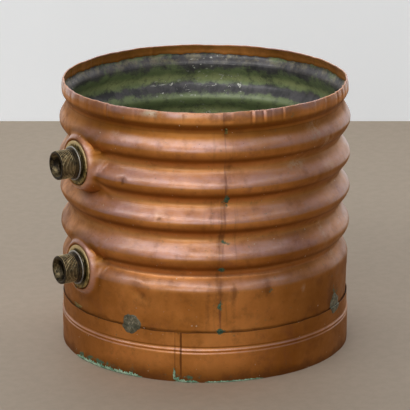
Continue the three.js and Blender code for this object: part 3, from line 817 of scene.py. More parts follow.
def turned_ring(node, hole, bevel):
    low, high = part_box(node)
    level = (low.z + high.z) / 2
    outer = (high.z - low.z) / 2
    start_fresh()
    middle = ((low.x + high.x) / 2, 0, level + (hole + outer) / 2)
    bpy.ops.mesh.primitive_plane_add(size=1, location=middle, rotation=(pi / 2, 0, 0))
    ring = bpy.context.object
    ring.name = node + "_turned"
    bpy.ops.object.transform_apply(location=True, rotation=True, scale=True)
    edit(ring)
    size = (high.x - low.x, 1, outer - hole)
    bpy.ops.transform.resize(value=size, center_override=middle)
    bpy.ops.mesh.bevel(offset=bevel, segments=3, affect="VERTICES")
    bpy.ops.mesh.delete(type="ONLY_FACE")
    bpy.ops.mesh.select_all(action="SELECT")
    bpy.ops.mesh.spin(steps=BOSS_STEPS, angle=2 * pi, center=(0, 0, level), axis=(1, 0, 0))
    leave_edit()
    return ring, level


def polar(co, level):
    return np.hypot(co[:, 1], co[:, 2] - level), np.arctan2(co[:, 2] - level, co[:, 1])


def boss_rings(name):
    made = []
    for part, hole, bevel in (
        ("flange_ring", 21.0 * MM, 0.9 * MM),
        ("outer_washer", 22.6 * MM, 0.35 * MM),
        ("inner_washer", 21.0 * MM, 0.3 * MM),
    ):
        ring, level = turned_ring(name + "_" + part, hole, bevel)
        finish_solid(ring)
        co = places(ring)
        radius, _ = polar(co, level)
        # Painted light: each ring and washer is lighter on its upper half and darker below. The flange
        # ring is also darker on its inner band, under the washer.
        darker_inner_band = 1.5 * (1 - smoothstep(radius, 23.5 * MM, 25.2 * MM)) * (part == "flange_ring")
        note(ring, "crest", 0.75 + 0.5 * (co[:, 2] - level) / (22 * MM) - darker_inner_band)
        if part == "outer_washer":
            co[:, 0] -= WASHER_STANDS_OFF
            put(ring, co)
        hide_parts(name + "_" + part)
        made.append(ring)
    return made

# %% [markdown]
# A backnut is turned as a plain ring with a chamfer, and then six flats are filed on it: each
# point that stands out past the nearest flat is moved in to it, which leaves the curved edges
# where chamfer and flats meet, as on a real nut.

# %% Backnuts
ACROSS_FLATS = 52 * MM


def backnut(name):
    node = name + "_backnut"
    low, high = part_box(node)
    nut, level = turned_ring(node, 21.2 * MM, 0.9 * MM)
    co = places(nut)
    radius, angle = polar(co, level)
    corner = ACROSS_FLATS / 2 / cos(pi / 6)
    radius = radius + (corner - (high.z - low.z) / 2) * (radius > ACROSS_FLATS / 2)
    flat = ACROSS_FLATS / 2 / np.cos((angle + pi / 6) % (pi / 3) - pi / 6)
    filed = np.minimum(radius, flat)
    co[:, 1], co[:, 2] = filed * np.cos(angle), level + filed * np.sin(angle)
    put(nut, co)
    finish_solid(nut)
    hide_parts(node)
    return nut

# %% [markdown]
# The spigots carry a real pipe thread of 11 turns to the inch. A thread is one long helix, so
# the surface between mouth and shoulder is a fine grid, rolled round the axis of the boss,
# whose radius follows the turn and the reach together. The profile goes on over the mouth and
# back through the bore, where its last row meets the first.

# %% Path of a spigot
THREAD_PITCH = 2.309 * MM
THREAD_DEPTH = 1.48 * MM
THREAD_RADIUS = 20.95 * MM
THREAD_LENGTH = 22.3 * MM
SPIGOT_NECK_RADIUS = 22.5 * MM
SPIGOT_NECK_LENGTH = 7.3 * MM
BORE_RADIUS = 16.5 * MM
INNER_BORE_RADIUS = 14.5 * MM
BORE_STEP_DEPTH = 20 * MM


def spigot_path(mouth, tail):
    shoulder = mouth - THREAD_LENGTH
    collar = shoulder - SPIGOT_NECK_LENGTH
    tail_r = THREAD_RADIUS - 0.3 * MM
    outside = [(tail, tail_r - 1 * MM), (tail + 1 * MM, tail_r)]
    outside += [(reach, tail_r) for reach in np.linspace(tail + 1.3 * MM, collar - 0.2 * MM, 70)]
    outside += [(collar, tail_r), (collar, SPIGOT_NECK_RADIUS - 0.5 * MM),
                (collar + 0.5 * MM, SPIGOT_NECK_RADIUS)]
    outside += [(shoulder - 1.6 * MM, SPIGOT_NECK_RADIUS),
                (shoulder - 0.9 * MM, SPIGOT_NECK_RADIUS - 0.2 * MM)]
    outside += [(reach, THREAD_RADIUS) for reach in np.linspace(shoulder, mouth - 1.1 * MM, 100)]
    lip = [(mouth - 0.6 * MM, THREAD_RADIUS - 0.7 * MM), (mouth - 0.15 * MM, THREAD_RADIUS - 1.5 * MM),
           (mouth, THREAD_RADIUS - 2.0 * MM), (mouth, BORE_RADIUS + 1.2 * MM),
           (mouth - 0.25 * MM, BORE_RADIUS + 0.5 * MM), (mouth - 0.9 * MM, BORE_RADIUS)]
    step = mouth - BORE_STEP_DEPTH
    rings = [(mouth - k * MM, BORE_RADIUS - (0.5 * MM if k % 2 else 0)) for k in range(2, 15)]
    bore = [*rings, (step + 1 * MM, BORE_RADIUS), (step, INNER_BORE_RADIUS + 0.3 * MM),
            (step - 0.4 * MM, INNER_BORE_RADIUS), (tail + 8 * MM, INNER_BORE_RADIUS),
            (tail + 0.3 * MM, INNER_BORE_RADIUS), (tail, INNER_BORE_RADIUS + 0.3 * MM), outside[0]]
    return np.array(outside + lip + bore)

# %% Spigots with a pipe thread
def spigot(name):
    node = name + "_spigot"
    low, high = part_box(node)
    level = (low.z + high.z) / 2
    mouth, tail = AXIS_X - low.x, AXIS_X - high.x
    path = spigot_path(mouth, tail)
    piece, column, row = flat_sheet(node + "_threaded", BOSS_STEPS, len(path) - 1)
    turn = 2 * pi * column / BOSS_STEPS
    reach, radius = path[row, 0], path[row, 1]
    shoulder = mouth - THREAD_LENGTH
    collar = shoulder - SPIGOT_NECK_LENGTH
    phase = ((mouth - reach) / THREAD_PITCH + turn / (2 * pi)) % 1
    groove = np.clip((1 - abs(2 * phase - 1)) * 1.25 - 0.12, 0, 1)
    on_front = smoothstep(reach, shoulder + 0.5 * MM, shoulder + 3.5 * MM)
    on_front = on_front * (reach < mouth - 0.9 * MM)
    on_tail = smoothstep(reach, tail + 0.5 * MM, tail + 2 * MM) * (reach < collar - 0.3 * MM)
    on_thread = (radius > THREAD_RADIUS - 0.8 * MM) * (on_front + on_tail)
    knocks = 0.12 * np.sin(5 * turn + 900 * reach) * np.sin(11 * turn - 1700 * reach + 1)
    radius = radius - on_thread * (THREAD_DEPTH * groove + np.clip(knocks, 0, 1) * MM)
    co = np.stack([AXIS_X - reach, radius * np.cos(turn), level + radius * np.sin(turn)], axis=1)
    put(piece, co)
    # Painted light: the bore behind the mouth is made lighter.
    painted_light_in_bore = (radius < BORE_RADIUS + 0.1 * MM) * smoothstep(reach, mouth - 19 * MM, mouth - 6 * MM)
    note(piece, "crest", on_thread * (1 - groove) ** 1.5 + 0.55 * painted_light_in_bore)
    finish_solid(piece)
    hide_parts(node)
    return piece


bosses = {name: (spigot(name), *boss_rings(name), backnut(name)) for name in BOSSES}

# %% [markdown]
# ## Solder tacks
# Four tacks of soft solder hold the skirt to the wall. Each was a drop that was wiped round
# with a hot iron, so it is a thin lumpy disc with a scalloped edge that lies on the wall and on
# the skirt. A square grid turned into a disc has no pole in its middle to show in the shading.

# %% Lumpy patches that lie on the wall
def face_radius(azimuth, height):
    on_wall = wall_radius(height) + unevenness(azimuth, height)
    on_skirt = skirt_radius(height) + lap_lift(LAP_AZIMUTH + (azimuth - LAP_AZIMUTH) % 360)
    return np.where(height > SKIRT_TOP, on_wall, on_skirt)


def lumps(x, y, seed):
    wave = np.sin(2.1 * x + seed) * np.sin(1.7 * y + 2 * seed)
    wave += 0.6 * np.sin(3.7 * x - 1.3 * y + 3 * seed) + 0.4 * np.sin(5.3 * y + 4.1 * x + seed)
    return wave / 2


def patch(name, azimuth, height, half_wide, half_tall, thick, seed, edge=0.08, grid=36):
    piece, column, row = flat_sheet(name, grid, grid)
    right, up = column - grid / 2, row - grid / 2
    ring = np.maximum(abs(right), abs(up))
    angle = ring_angle(right, up, np.maximum(ring, 1))
    share = ring / (grid / 2)
    wander = ripples(angle, (0.6, 3, seed), (0.5, 5, 2 * seed), (0.3, 2, 0))
    rim = 1 - edge + edge * abs(np.sin(4 * angle + wander)) + edge * wander
    x = share * rim * half_wide * np.cos(angle)
    y = share * rim * half_tall * np.sin(angle)
    dome = np.sqrt(np.clip(1 - share**4, 0, 1))
    rough = 1 + 0.28 * lumps(9 * x / half_wide, 9 * y / half_tall, seed)
    beads = 0.3 * smoothstep(share, 0.45, 0.8) * abs(np.sin(4 * angle + wander)) * (up > 0)
    over = thick * (dome * (rough + beads)) - 0.25 * MM
    z = height + y
    turn = azimuth + np.degrees(x / RIDGE_RADIUS)
    put(piece, rolled(turn, face_radius(turn, z) + over, z))
    note(piece, "crest", dome * (rough + beads) - 0.6)
    give_thickness(piece, 0.5 * MM)
    finish_solid(piece, LUMP_SMOOTH_ANGLE)
    return piece

# %% Four tacks
TACK_AZIMUTHS = [-62, 32, 122, 212]
TACK_HALF_WIDTH = 15.5 * MM
TACK_HALF_HEIGHT = 14.5 * MM
TACK_THICKNESS = 1.3 * MM
TACK_HEIGHT = 77.5 * MM


def solder_tack(number, azimuth):
    size = (TACK_HALF_WIDTH, TACK_HALF_HEIGHT, TACK_THICKNESS)
    tack = patch(f"tack_{number}", azimuth, TACK_HEIGHT, *size, 1.3 * number)
    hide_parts(f"solder_tack_{number}")
    return tack


tacks = [solder_tack(i + 1, azimuth) for i, azimuth in enumerate(TACK_AZIMUTHS)]

# %% [markdown]
# ## Verdigris crusts
# Where water has stood, copper grows a pale green crust: along the cut edge on the floor, in
# the lap of the skirt, and at pin holes in the seam. The thick ones are real lumps here, so
# that they catch the light and break the outline of the foot.

# %% Crusts on seam, lap and foot
# name, azimuth, height, half width, half height, thickness, all lengths in mm
SPOTS = [
    ("seam_spot_1", -23.2, 266, 3.6, 6.0, 1.1),
    ("seam_spot_2", -26.0, 165, 3.0, 2.6, 0.9),
    ("seam_spot_3", -26.4, 114, 2.4, 4.0, 0.9),
    ("seam_spot_4", -26.0, 75.5, 7.0, 2.2, 0.9),
    ("lap_streak", -43.9, 11.6, 1.9, 8.0, 0.9),
    ("lap_foot", -42.9, 4.1, 4.5, 2.5, 1.2),
]
# start and end azimuth, and thickness in mm
FOOT_CRUSTS = [(-94, -57, 2.0), (-43.5, -34, 1.6), (-33, -9, 0.7)]
FOOT_CRUST_ROWS = 8


def crust_spot(number, name, azimuth, *lengths):
    height, wide, tall, thick = (length * MM for length in lengths)
    return patch(name, azimuth, height, wide, tall, thick, 2.2 * number, edge=0.2, grid=20)


def foot_crust(number, start, end, thick):
    columns = int((end - start) * 5)
    crust, column, row = flat_sheet(f"foot_crust_{number}", columns, FOOT_CRUST_ROWS)
    azimuth = start + (end - start) * column / columns
    share = row / FOOT_CRUST_ROWS
    ends = smoothstep(azimuth, start, start + 3) * (1 - smoothstep(azimuth, end - 3, end))
    ragged_top = 1 + 0.5 * np.sin(1.9 * azimuth) * np.sin(0.7 * azimuth + 1)
    ragged_top = ragged_top + 0.3 * np.sin(5.3 * azimuth)
    z = 0.3 * MM + share * (0.7 + 1.6 * thick * ragged_top * ends) * MM
    bulge = np.sin(pi * np.clip(share * 0.85 + 0.15, 0, 1))
    over = thick * ends * bulge * (0.7 + 0.45 * lumps(2.3 * azimuth, 7 * share, number)) - 0.2
    put(crust, rolled(azimuth, face_radius(azimuth, z) + over * MM, z))
    note(crust, "crest", over / thick)
    give_thickness(crust, 0.6 * MM)
    finish_solid(crust, LUMP_SMOOTH_ANGLE)
    return crust


crusts = [crust_spot(i, *spot) for i, spot in enumerate(SPOTS)]
crusts += [foot_crust(i + 1, *span) for i, span in enumerate(FOOT_CRUSTS)]

# %% [markdown]
# ## Bottom and brazing
# The bottom is a shallow dish that hangs inside the skirt, with a flange turned up inside the
# wall. Its profile runs from the middle outwards and is rolled like the wall; all points of
# its first row meet in the middle and are merged there.

# %% Dished bottom
BOTTOM_SHEET = 1.5 * MM
BOTTOM_FLANGE_TOP = bottom_high.z
BOTTOM_LOWEST = bottom_low.z
BOTTOM_CORNER = 8 * MM
DISH_EDGE = 50 * MM


def bottom_path():
    flange = FOOT_RADIUS - SHEET - GAP
    dish = flange - BOTTOM_CORNER
    t = np.linspace(0, 1, 26)
    path = [(dish * s, DISH_EDGE - (DISH_EDGE - BOTTOM_LOWEST) * (1 - s * s)) for s in t]
    bend = np.radians(np.linspace(40, 90, 7))
    path += [(dish + BOTTOM_CORNER * sin(a), DISH_EDGE + BOTTOM_CORNER * (1 - cos(a))) for a in bend]
    path += [(flange, z) for z in np.linspace(DISH_EDGE + BOTTOM_CORNER, BOTTOM_FLANGE_TOP, 6)[1:]]
    return np.array(path)


def dished_bottom():
    path = bottom_path()
    columns = 180
    bottom, column, row = flat_sheet("dished_bottom", columns, len(path) - 1)
    azimuth = 360 * column / columns
    radius, height = path[row, 0], path[row, 1]
    turn = np.radians(azimuth)
    dents = 0.5 * np.sin(3 * turn + 40 * radius) * np.sin(55 * radius) * (radius < 0.19)
    put(bottom, rolled(azimuth, radius, height + np.clip(dents, -0.2, 1) * MM))
    lay_out_flat(bottom, np.radians(azimuth) * RIDGE_RADIUS, radius)
    close_seam(bottom)
    give_thickness(bottom, BOTTOM_SHEET, even=True)
    smooth(bottom, SHEET_SMOOTH_ANGLE)
    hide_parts("bottom_plate")
    return bottom


bottom = dished_bottom()

# %% [markdown]
# The braze that joins the bottom is a fillet all round, and the braze of the seam a low bead
# down the inside of the wall. Both flowed and froze, so their faces ripple.

# %% Braze fillet and seam bead
# out from the wall and up from the flange's edge, in mm, once round the fillet's section
FILLET_LOOP = [
    (0, 0), (-0.5, 0), (-1.1, 0.3), (-1.3, 1), (-1.1, 2), (-0.7, 3), (-0.3, 3.7), (0, 4.0), (0, 2),
    (0, 0),
]
SEAM_HALF_WIDTH = 2 * MM


def braze_fillet():
    columns, rows = 360, 9
    fillet, column, row = flat_sheet("bottom_braze_fillet", columns, rows)
    turn = 2 * pi * column / columns
    wall_face = FOOT_RADIUS - SHEET - GAP
    base = BOTTOM_FLANGE_TOP + GAP
    ripple = 0.35 * np.sin(47 * turn) * np.sin(11 * turn + 1) + 0.2 * np.sin(83 * turn + 2)
    loop = np.array(FILLET_LOOP) * MM
    free = (row > 0) & (row < 7)
    radius = wall_face + loop[row, 0] - free * (0.15 + 0.25 * ripple) * MM
    height = base + loop[row, 1] + (row == 7) * 0.4 * ripple * MM
    put(fillet, rolled(np.degrees(turn), radius, height))
    finish_solid(fillet, LUMP_SMOOTH_ANGLE)
    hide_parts("bottom_braze")
    return fillet


def seam_bead():
    low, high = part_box("seam_braze")
    columns, rows = 10, 240
    bead, column, row = flat_sheet("seam_bead", columns, rows)
    height = low.z + (high.z - low.z) * row / rows
    across = (column / columns * 2 - 1) * SEAM_HALF_WIDTH
    azimuth = SEAM_AZIMUTH + seam_slant(height) + np.degrees(across / RIDGE_RADIUS)
    ripple = 1 + 0.35 * np.sin(height / MM * 0.9) + 0.2 * np.sin(height / MM * 0.37 + 1)
    lift = (0.9 * (1 - (across / SEAM_HALF_WIDTH) ** 2) * ripple - 0.15) * MM
    inner = wall_radius(height) + unevenness(azimuth, height) - SHEET
    put(bead, rolled(azimuth, inner - lift, height))
    edit(bead)
    bpy.ops.mesh.flip_normals()
    leave_edit()
    give_thickness(bead, 0.6 * MM)
    finish_solid(bead, LUMP_SMOOTH_ANGLE)
    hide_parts("seam_braze")
    return bead


beads = [braze_fillet(), seam_bead()]

# %% [markdown]
# ## Finishes
# Nodes are built by small helpers: one makes a node and sets or links its sockets, one mixes
# two colours, one turns a value into a soft mask, and one makes a cloudy pattern.

# %% Helpers for nodes
def new_finish(name):
    finish = bpy.data.materials.new(name)
    finish.use_nodes = True
    tree = finish.node_tree
    return finish, tree, tree.nodes["Principled BSDF"]


def connect(tree, value, socket):
    if isinstance(value, bpy.types.NodeSocket):
        tree.links.new(value, socket)
    else:
        socket.default_value = value


def feed(tree, node, **sockets):
    for name, value in sockets.items():
        connect(tree, value, node.inputs[name.replace("_", " ")])


def add(tree, kind, settings=None, **sockets):
    made = tree.nodes.new(kind)
    for name, value in (settings or {}).items():
        setattr(made, name, value)
    feed(tree, made, **sockets)
    return made


def mix(tree, amount, first, second):
    made = add(tree, "ShaderNodeMix", {"data_type": "RGBA"})
    for socket, part in ((0, amount), (6, first), (7, second)):
        connect(tree, part, made.inputs[socket])
    return made.outputs[2]


def mask(tree, value, low, high, floor=0.0, ceiling=1.0):
    made = add(tree, "ShaderNodeMapRange", {"interpolation_type": "SMOOTHSTEP"})
    for socket, part in zip(made.inputs, (value, low, high, floor, ceiling)):
        connect(tree, part, socket)
    return made.outputs[0]


def maths(tree, operation, *values):
    made = add(tree, "ShaderNodeMath", {"operation": operation})
    for socket, part in zip(made.inputs, values):
        connect(tree, part, socket)
    return made.outputs[0]


def stretched(tree, coordinates, x, y, z):
    return add(tree, "ShaderNodeMapping", Vector=coordinates, Scale=(x, y, z)).outputs[0]


def cloud(tree, coordinates, scale, detail=4.0, roughness=0.55):
    made = add(tree, "ShaderNodeTexNoise", Vector=coordinates, Scale=scale,
               Detail=detail, Roughness=roughness)
    return made.outputs["Fac"]

# %% [markdown]
# The copper outside has been handled and polished thin on its ridges, where it is pink and
# bright; this worn colour also stands as a painted highlight where the ridges face up to the
# light. Elsewhere it carries a warm brown oxide in blotches. The undersides of the ridges are
# darkest, as painted shade, and the groove bottoms are painted lighter and golden. Water has
# run down along the seam and left dark streaks there. The rough metal below gives the broad
# glow, and a smooth clear coat over it, the wax of many polishings, the pale sheen.

# %% Patterns shared by the copper finishes
def attribute(tree, name):
    return add(tree, "ShaderNodeAttribute", {"attribute_name": name}).outputs["Fac"]


def bumpy(tree, height, strength, depth, **more):
    bump = add(tree, "ShaderNodeBump", Height=height, Strength=strength, Distance=depth, **more)
    return bump.outputs[0]


def times(tree, *values):
    total = values[0]
    for value in values[1:]:
        total = maths(tree, "MULTIPLY", total, value)
    return total


def sheet_place(tree):
    """Gives the place in space, the place on the flat sheet, and its two numbers."""
    coordinates = add(tree, "ShaderNodeTexCoord").outputs
    unrolled = add(tree, "ShaderNodeSeparateXYZ", Vector=coordinates["UV"]).outputs
    return coordinates["Object"], coordinates["UV"], unrolled[0], unrolled[1]


def distance_to_seam(tree, along):
    return maths(tree, "PINGPONG", along, SHEET_LENGTH / 2)


def ragged_mark(tree, name, where, scale, sharpness=0.12):
    torn = mask(tree, cloud(tree, where, scale, 5, 0.65), 0.25, 0.75)
    reach = maths(tree, "SUBTRACT", attribute(tree, name), times(tree, torn, 0.9))
    return mask(tree, reach, -sharpness, sharpness)

# %% Colours of the copper outside
TAN_COPPER = (0.86, 0.37, 0.10, 1)
BROWN_COPPER = (0.58, 0.225, 0.045, 1)
PLUM_COPPER = (0.46, 0.175, 0.085, 1)
# The groove colour below is painted shade, the golden one painted light in the groove bottoms, and the
# worn one partly a painted highlight.
PAINTED_SHADE_COPPER = (0.28, 0.10, 0.013, 1)
GOLDEN_COPPER = (0.94, 0.50, 0.18, 1)
WORN_AND_LIT_COPPER = (0.715, 0.445, 0.42, 1)
STAIN = (0.20, 0.075, 0.03, 1)
SEAM_STAIN = (0.22, 0.08, 0.06, 1)
GREEN_RUST = (0.085, 0.15, 0.08, 1)
PALE_SPECK = (0.75, 0.62, 0.45, 1)
SHEET_LENGTH = 2 * pi * RIDGE_RADIUS


def copper_colour(tree, where, flat, along, worn_and_lit, painted_light_strength):
    blotches = mask(tree, cloud(tree, where, 9, 6, 0.6), 0.36, 0.66)
    colour = mix(tree, blotches, TAN_COPPER, BROWN_COPPER)
    plum = mask(tree, cloud(tree, where, 17, 7, 0.7), 0.52, 0.74, 0, 0.75)
    colour = mix(tree, plum, colour, PLUM_COPPER)
    # Golden groove bottoms as painted light, and the darkened parts as painted shade.
    for name, share, painted_light_colour in (("hollow", 0.75, GOLDEN_COPPER), ("under", 0.85, PAINTED_SHADE_COPPER)):
        colour = mix(tree, times(tree, attribute(tree, name), share * painted_light_strength), colour, painted_light_colour)
    rub = cloud(tree, stretched(tree, where, 1, 1, 2.5), 24, 7, 0.7)
    crest = mask(tree, attribute(tree, "crest"), 0.25, 1.0)
    rubbed_and_lit = times(tree, crest, mask(tree, rub, 0.3, 0.7, 0.3, 1), worn_and_lit)
    colour = mix(tree, rubbed_and_lit, colour, WORN_AND_LIT_COPPER)
    scratched = mask(tree, cloud(tree, where, 90, 6, 0.75), 0.42, 0.62)
    # Scuffs, and painted highlights at the top of the rim, in a pale colour.
    scuffed_and_lit = times(tree, attribute(tree, "scuff_and_highlight"), scratched, 0.7)
    colour = mix(tree, scuffed_and_lit, colour, PALE_SPECK)
    drips = mask(tree, cloud(tree, stretched(tree, flat, 120, 7, 1), 1, 5, 0.6), 0.5, 0.75)
    near_seam = mask(tree, distance_to_seam(tree, along), 0.04, 0.0, 0.05, 0.5)
    return mix(tree, times(tree, drips, near_seam), colour, STAIN)

# %% Finish of the copper outside
def copper_finish(name, worn_and_lit=0.75, painted_light_strength=1.0, seam=1.0):
    finish, tree, metal = new_finish(name)
    where, flat, along, up = sheet_place(tree)
    colour = copper_colour(tree, where, flat, along, worn_and_lit, painted_light_strength)
    to_seam = distance_to_seam(tree, along)
    patchy = mask(tree, cloud(tree, stretched(tree, flat, 60, 16, 1), 1, 5), 0.42, 0.66, 0.04, 1)
    line = times(tree, mask(tree, to_seam, 0.0028, 0.0002), patchy, 0.7 * seam)
    line = times(tree, line, mask(tree, up, 0.16, 0.13, 1, 1.4))
    colour = mix(tree, line, colour, SEAM_STAIN)
    # Stains, and painted shade in some dents and towards the foot of the skirt.
    stained_and_shaded = times(tree, ragged_mark(tree, "stain_and_shade", where, 45, 0.5), 0.6)
    colour = mix(tree, stained_and_shaded, colour, STAIN)
    specks = mask(tree, cloud(tree, where, 300, 2), 0.72, 0.78, 0, 0.6)
    colour = mix(tree, specks, colour, STAIN)
    dots = mask(tree, cloud(tree, where, 210, 1, 0.4), 0.775, 0.80, 0, 0.8)
    colour = mix(tree, dots, colour, PALE_SPECK)
    green = ragged_mark(tree, "green", where, 110)
    colour = mix(tree, green, colour, GREEN_RUST)
    bare = maths(tree, "SUBTRACT", 1, times(tree, green, 0.9))
    dull = maths(tree, "MAXIMUM", green, stained_and_shaded)
    waxed = mask(tree, attribute(tree, "crest"), 0.0, 0.7, 0.15, 1)
    waxed = maths(tree, "SUBTRACT", waxed, times(tree, attribute(tree, "under"), 0.4 * painted_light_strength))
    waxed = times(tree, waxed, maths(tree, "SUBTRACT", 1, dull))
    grain = cloud(tree, where, 60, 6, 0.7)
    rough = maths(tree, "ADD", mask(tree, grain, 0.3, 0.7, 0.50, 0.62), times(tree, dull, 0.15))
    relief = maths(tree, "ADD", grain, times(tree, maths(tree, "ADD", green, specks), 1.5))
    fine = bumpy(tree, relief, 0.16, 0.6 * MM)
    beaten = bumpy(tree, cloud(tree, where, 22, 2), 0.25, 2 * MM, Normal=fine)
    feed(tree, metal, Base_Color=colour, Metallic=bare, Roughness=rough, Normal=beaten,
         Coat_Weight=waxed, Coat_Roughness=0.2)
    return finish

# %% [markdown]
# Inside, damp and soap have grown a patina that nobody polished: green in the hollows of the
# ridges, slate grey on the faces between them, mottled olive under the hem, with white flecks
# of lime where splashes dried.

# %% Patina inside
SLATE = (0.14, 0.13, 0.135, 1)
DARK_SLATE = (0.055, 0.053, 0.055, 1)
LEAF_GREEN = (0.52, 0.57, 0.26, 1)
DARK_GREEN = (0.28, 0.345, 0.16, 1)
OLIVE = (0.38, 0.33, 0.20, 1)
LIME = (0.85, 0.85, 0.74, 1)


def inside_patina(name="inside_patina"):
    finish, tree, surface = new_finish(name)
    where, _, _, up = sheet_place(tree)
    streaky = stretched(tree, where, 1.6, 1.6, 0.8)
    slate = mix(tree, mask(tree, cloud(tree, streaky, 26, 7, 0.7), 0.38, 0.62), DARK_SLATE, SLATE)
    drift = mask(tree, cloud(tree, streaky, 18, 7, 0.7), 0.2, 0.8, -0.6, 0.6)
    growth = maths(tree, "ADD", attribute(tree, "leaf"), drift)
    green = mix(tree, mask(tree, growth, 0.2, 1.1), DARK_GREEN, LEAF_GREEN)
    wander = mask(tree, cloud(tree, where, 22, 8, 0.75), 0.2, 0.8, -0.8, 0.8)
    film = mask(tree, maths(tree, "ADD", attribute(tree, "film"), wander), 0.25, 0.85)
    colour = mix(tree, film, green, slate)
    mottle = mask(tree, cloud(tree, where, 55, 7, 0.75), 0.45, 0.62)
    colour = mix(tree, times(tree, mask(tree, up, 0.358, 0.376), mottle, 0.8), colour, OLIVE)
    speckle = mask(tree, cloud(tree, where, 75, 9, 0.8), 0.5, 0.6, 0, 0.45)
    colour = mix(tree, speckle, colour, DARK_SLATE)
    zones = mask(tree, cloud(tree, where, 13, 3), 0.48, 0.58)
    flecks = mask(tree, cloud(tree, where, 150, 3, 0.6), 0.63, 0.66)
    dashes = mask(tree, cloud(tree, stretched(tree, where, 45, 45, 380), 1, 3), 0.66, 0.69)
    colour = mix(tree, times(tree, maths(tree, "MAXIMUM", flecks, dashes), zones, 0.85), colour, LIME)
    grain = cloud(tree, where, 90, 7, 0.75)
    rough = mask(tree, grain, 0.3, 0.7, 0.36, 0.62)
    feed(tree, surface, Base_Color=colour, Metallic=0.2, Roughness=rough,
         Normal=bumpy(tree, grain, 0.35, 1 * MM), Coat_Weight=0.5, Coat_Roughness=0.3)
    return finish

# %% [markdown]
# The cast and turned pieces share one recipe: a dull dark film in the hollows, clean metal on
# the crests, blotches between, and fine pits. On the flange rings and washers the crest value is
# also painted light, higher on their upper halves.

# %% Brass, solder and verdigris
def weathered(name, dark, middle, bright, metallic, roughness, scale, pits):
    finish, tree, surface = new_finish(name)
    dark, middle, bright = ((*colour, 1) for colour in (dark, middle, bright))
    where = add(tree, "ShaderNodeTexCoord").outputs["Object"]
    blotch = cloud(tree, where, scale, 7, 0.7)
    colour = mix(tree, mask(tree, blotch, 0.36, 0.62), dark, middle)
    crest = attribute(tree, "crest")
    shine = maths(tree, "ADD", crest, mask(tree, blotch, 0.2, 0.8, -0.35, 0.35))
    colour = mix(tree, mask(tree, shine, 0.35, 1.0), colour, bright)
    colour = mix(tree, mask(tree, crest, -0.1, -0.7, 0, 0.9), colour, dark)
    grain = cloud(tree, where, scale * 5, 5, 0.7)
    rough = mask(tree, grain, 0.3, 0.7, roughness - 0.1, roughness + 0.12)
    feed(tree, surface, Base_Color=colour, Metallic=metallic, Roughness=rough,
         Normal=bumpy(tree, grain, pits, 0.5 * MM))
    return finish


# dark, middle and bright colour, metallic, roughness, scale of the blotches, depth of the pits
RECIPES = {
    "dark_copper": ((0.05, 0.03, 0.02), (0.22, 0.10, 0.05), (0.30, 0.16, 0.09), 0.8, 0.6, 30, 0.4),
    "old_brass": (
        (0.026, 0.022, 0.017), (0.11, 0.08, 0.04), (0.66, 0.51, 0.27), 0.85, 0.36, 90, 0.4),
    "yellow_brass": (
        (0.09, 0.07, 0.02), (0.46, 0.34, 0.11), (0.95, 0.74, 0.38), 0.85, 0.42, 150, 0.9),
    "washer_grey": (
        (0.24, 0.23, 0.22), (0.55, 0.52, 0.48), (0.70, 0.68, 0.62), 0.7, 0.45, 80, 0.4),
    "solder": ((0.10, 0.10, 0.065), (0.24, 0.225, 0.15), (0.70, 0.60, 0.46), 0.5, 0.45, 130, 0.8),
    "verdigris_mint": (
        (0.10, 0.24, 0.14), (0.37, 0.56, 0.38), (0.66, 0.78, 0.60), 0, 0.9, 160, 0.9),
    "verdigris_dark": (
        (0.025, 0.055, 0.032), (0.07, 0.14, 0.08), (0.24, 0.38, 0.24), 0, 0.8, 160, 0.9),
}

# %% [markdown]
# Each piece gets its finish and the body that it rides on. A sheet has two finishes: the Solidify
# modifier gives its inner face the second.

# %% Put each finish on its piece
copper = copper_finish("copper_outside")
rim_copper = copper_finish("copper_rim", worn_and_lit=0.9)
skirt_copper = copper_finish("copper_skirt", worn_and_lit=0.6, seam=0)
patina = inside_patina()
cast = {name: weathered(name, *recipe) for name, recipe in RECIPES.items()}
print(len(bpy.data.materials), "finishes")


def dress(piece, slot_name, *finishes):
    for finish in finishes:
        piece.data.materials.append(finish)
    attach(piece, "root")


for sheet, nodes, outside, inside in (
    (wall, WALL_NODES, copper, patina),
    (rim, RIM_NODES, rim_copper, patina),
    (skirt, ["base_skirt"], skirt_copper, cast["dark_copper"]),
):
    dress(sheet, "copper", outside, inside)
    give_thickness(sheet, SHEET, even=True, inner_finish=1)
    smooth(sheet, SHEET_SMOOTH_ANGLE)
    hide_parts(*nodes)
dress(bottom, "dark_copper", patina)
for threaded, flange, outer, inner, nut in bosses.values():
    dress(threaded, "old_brass", cast["old_brass"])
    dress(outer, "solder", cast["washer_grey"])
    for piece in (flange, inner, nut):
        dress(piece, "yellow_brass", cast["yellow_brass"])
for tack in tacks:
    dress(tack, "solder", cast["solder"])
for bead in beads:
    dress(bead, "yellow_brass", cast["yellow_brass"])
for crust in crusts:
    on_seam = crust.name.startswith("seam")
    dress(crust, "copper", cast["verdigris_dark" if on_seam else "verdigris_mint"])

# %% [markdown]
# ## Floor and light
# A pale warm floor runs back to a pale wall, which glows a little by itself.

# %% Floor and back wall
WALL_DISTANCE = 1.22


def plain_plane(name, size, place, turn, pale, dark, scale, glow=0):
    start_fresh()
    bpy.ops.mesh.primitive_plane_add(size=size, location=place, rotation=turn)
    plane = bpy.context.object
    plane.name = name
    bpy.ops.object.transform_apply(location=True, rotation=True, scale=True)
    finish, tree, surface = new_finish(name + "_finish")
    where = add(tree, "ShaderNodeTexCoord").outputs["Object"]
    mottle = mix(tree, mask(tree, cloud(tree, where, scale, 5, 0.7), 0.35, 0.65), pale, dark)
    feed(tree, surface, Base_Color=mottle, Roughness=0.7, Emission_Color=pale,
         Emission_Strength=glow)
    plane.data.materials.append(finish)


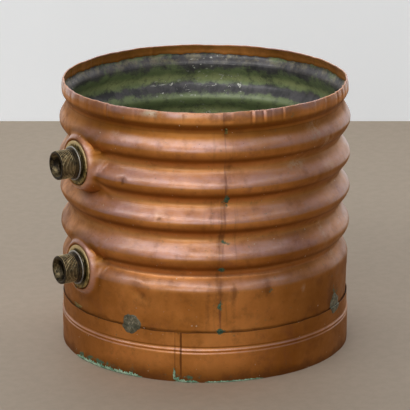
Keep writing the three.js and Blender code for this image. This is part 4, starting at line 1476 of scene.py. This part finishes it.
behind = Vector((-sin(CAMERA_AZIMUTH), cos(CAMERA_AZIMUTH), 0))
wall_foot = Vector((AXIS_X, 0, 0)) + behind * WALL_DISTANCE
plain_plane("floor", 7, wall_foot - behind * 3.5, (0, 0, CAMERA_AZIMUTH),
            (0.46, 0.375, 0.285, 1), (0.43, 0.35, 0.265, 1), 60)
plain_plane("back_wall", 6, wall_foot + Vector((0, 0, 3)), (pi / 2, 0, CAMERA_AZIMUTH),
            (0.83, 0.86, 0.88, 1), (0.81, 0.84, 0.86, 1), 3, 0.36)

# %% [markdown]
# Four soft lamps stand round the barrel. A long one, high on the left like a window, draws the
# ridges by its reflection, and a low one lifts their undersides. A weak one on the right keeps
# the far flank from going black, and the last one lights the back wall. The surround stays dim,
# so that the right side of the barrel falls into shade.

# %% Light
SURROUND = (0.11, 0.115, 0.13, 1)
# azimuth from the camera in degrees, distance, height, height of the aim, width, depth, watts
LAMPS = {
    "window": (-28, 2.0, 2.2, 0.2, 4.6, 0.7, 36),
    "low_fill": (-14, 2.4, 0.8, 0.15, 1.4, 0.9, 8),
    "room": (56, 2.3, 2.2, 0.2, 1.8, 0.6, 3.8),
}

world = bpy.data.worlds.new("surround")
bpy.context.scene.world = world
world.use_nodes = True
feed(world.node_tree, world.node_tree.nodes["Background"], Color=SURROUND, Strength=1.0)
bpy.context.scene.view_settings.view_transform = "Standard"


def soft_lamp(name, place, aim, wide, deep, watts):
    lamp_data = bpy.data.lights.new(name, "AREA")
    lamp_data.shape = "RECTANGLE"
    lamp_data.size = wide
    lamp_data.size_y = deep
    lamp_data.energy = watts
    lamp = bpy.data.objects.new(name, lamp_data)
    bpy.context.scene.collection.objects.link(lamp)
    lamp.location = place
    lamp.rotation_euler = (Vector(aim) - Vector(place)).to_track_quat("-Z", "Y").to_euler()


for name, (turn, distance, height, aim, *size_and_watts) in LAMPS.items():
    azimuth = CAMERA_AZIMUTH + radians(turn)
    place = (distance * sin(azimuth), -distance * cos(azimuth), height)
    soft_lamp(name, place, (0, 0, aim), *size_and_watts)
over_wall = wall_foot - behind * 0.5 + Vector((0, 0, 2.2))
soft_lamp("wall_light", over_wall, wall_foot + Vector((0, 0, 0.6)), 3.5, 0.5, 14)
print(len(bpy.data.lights), "lamps ready")
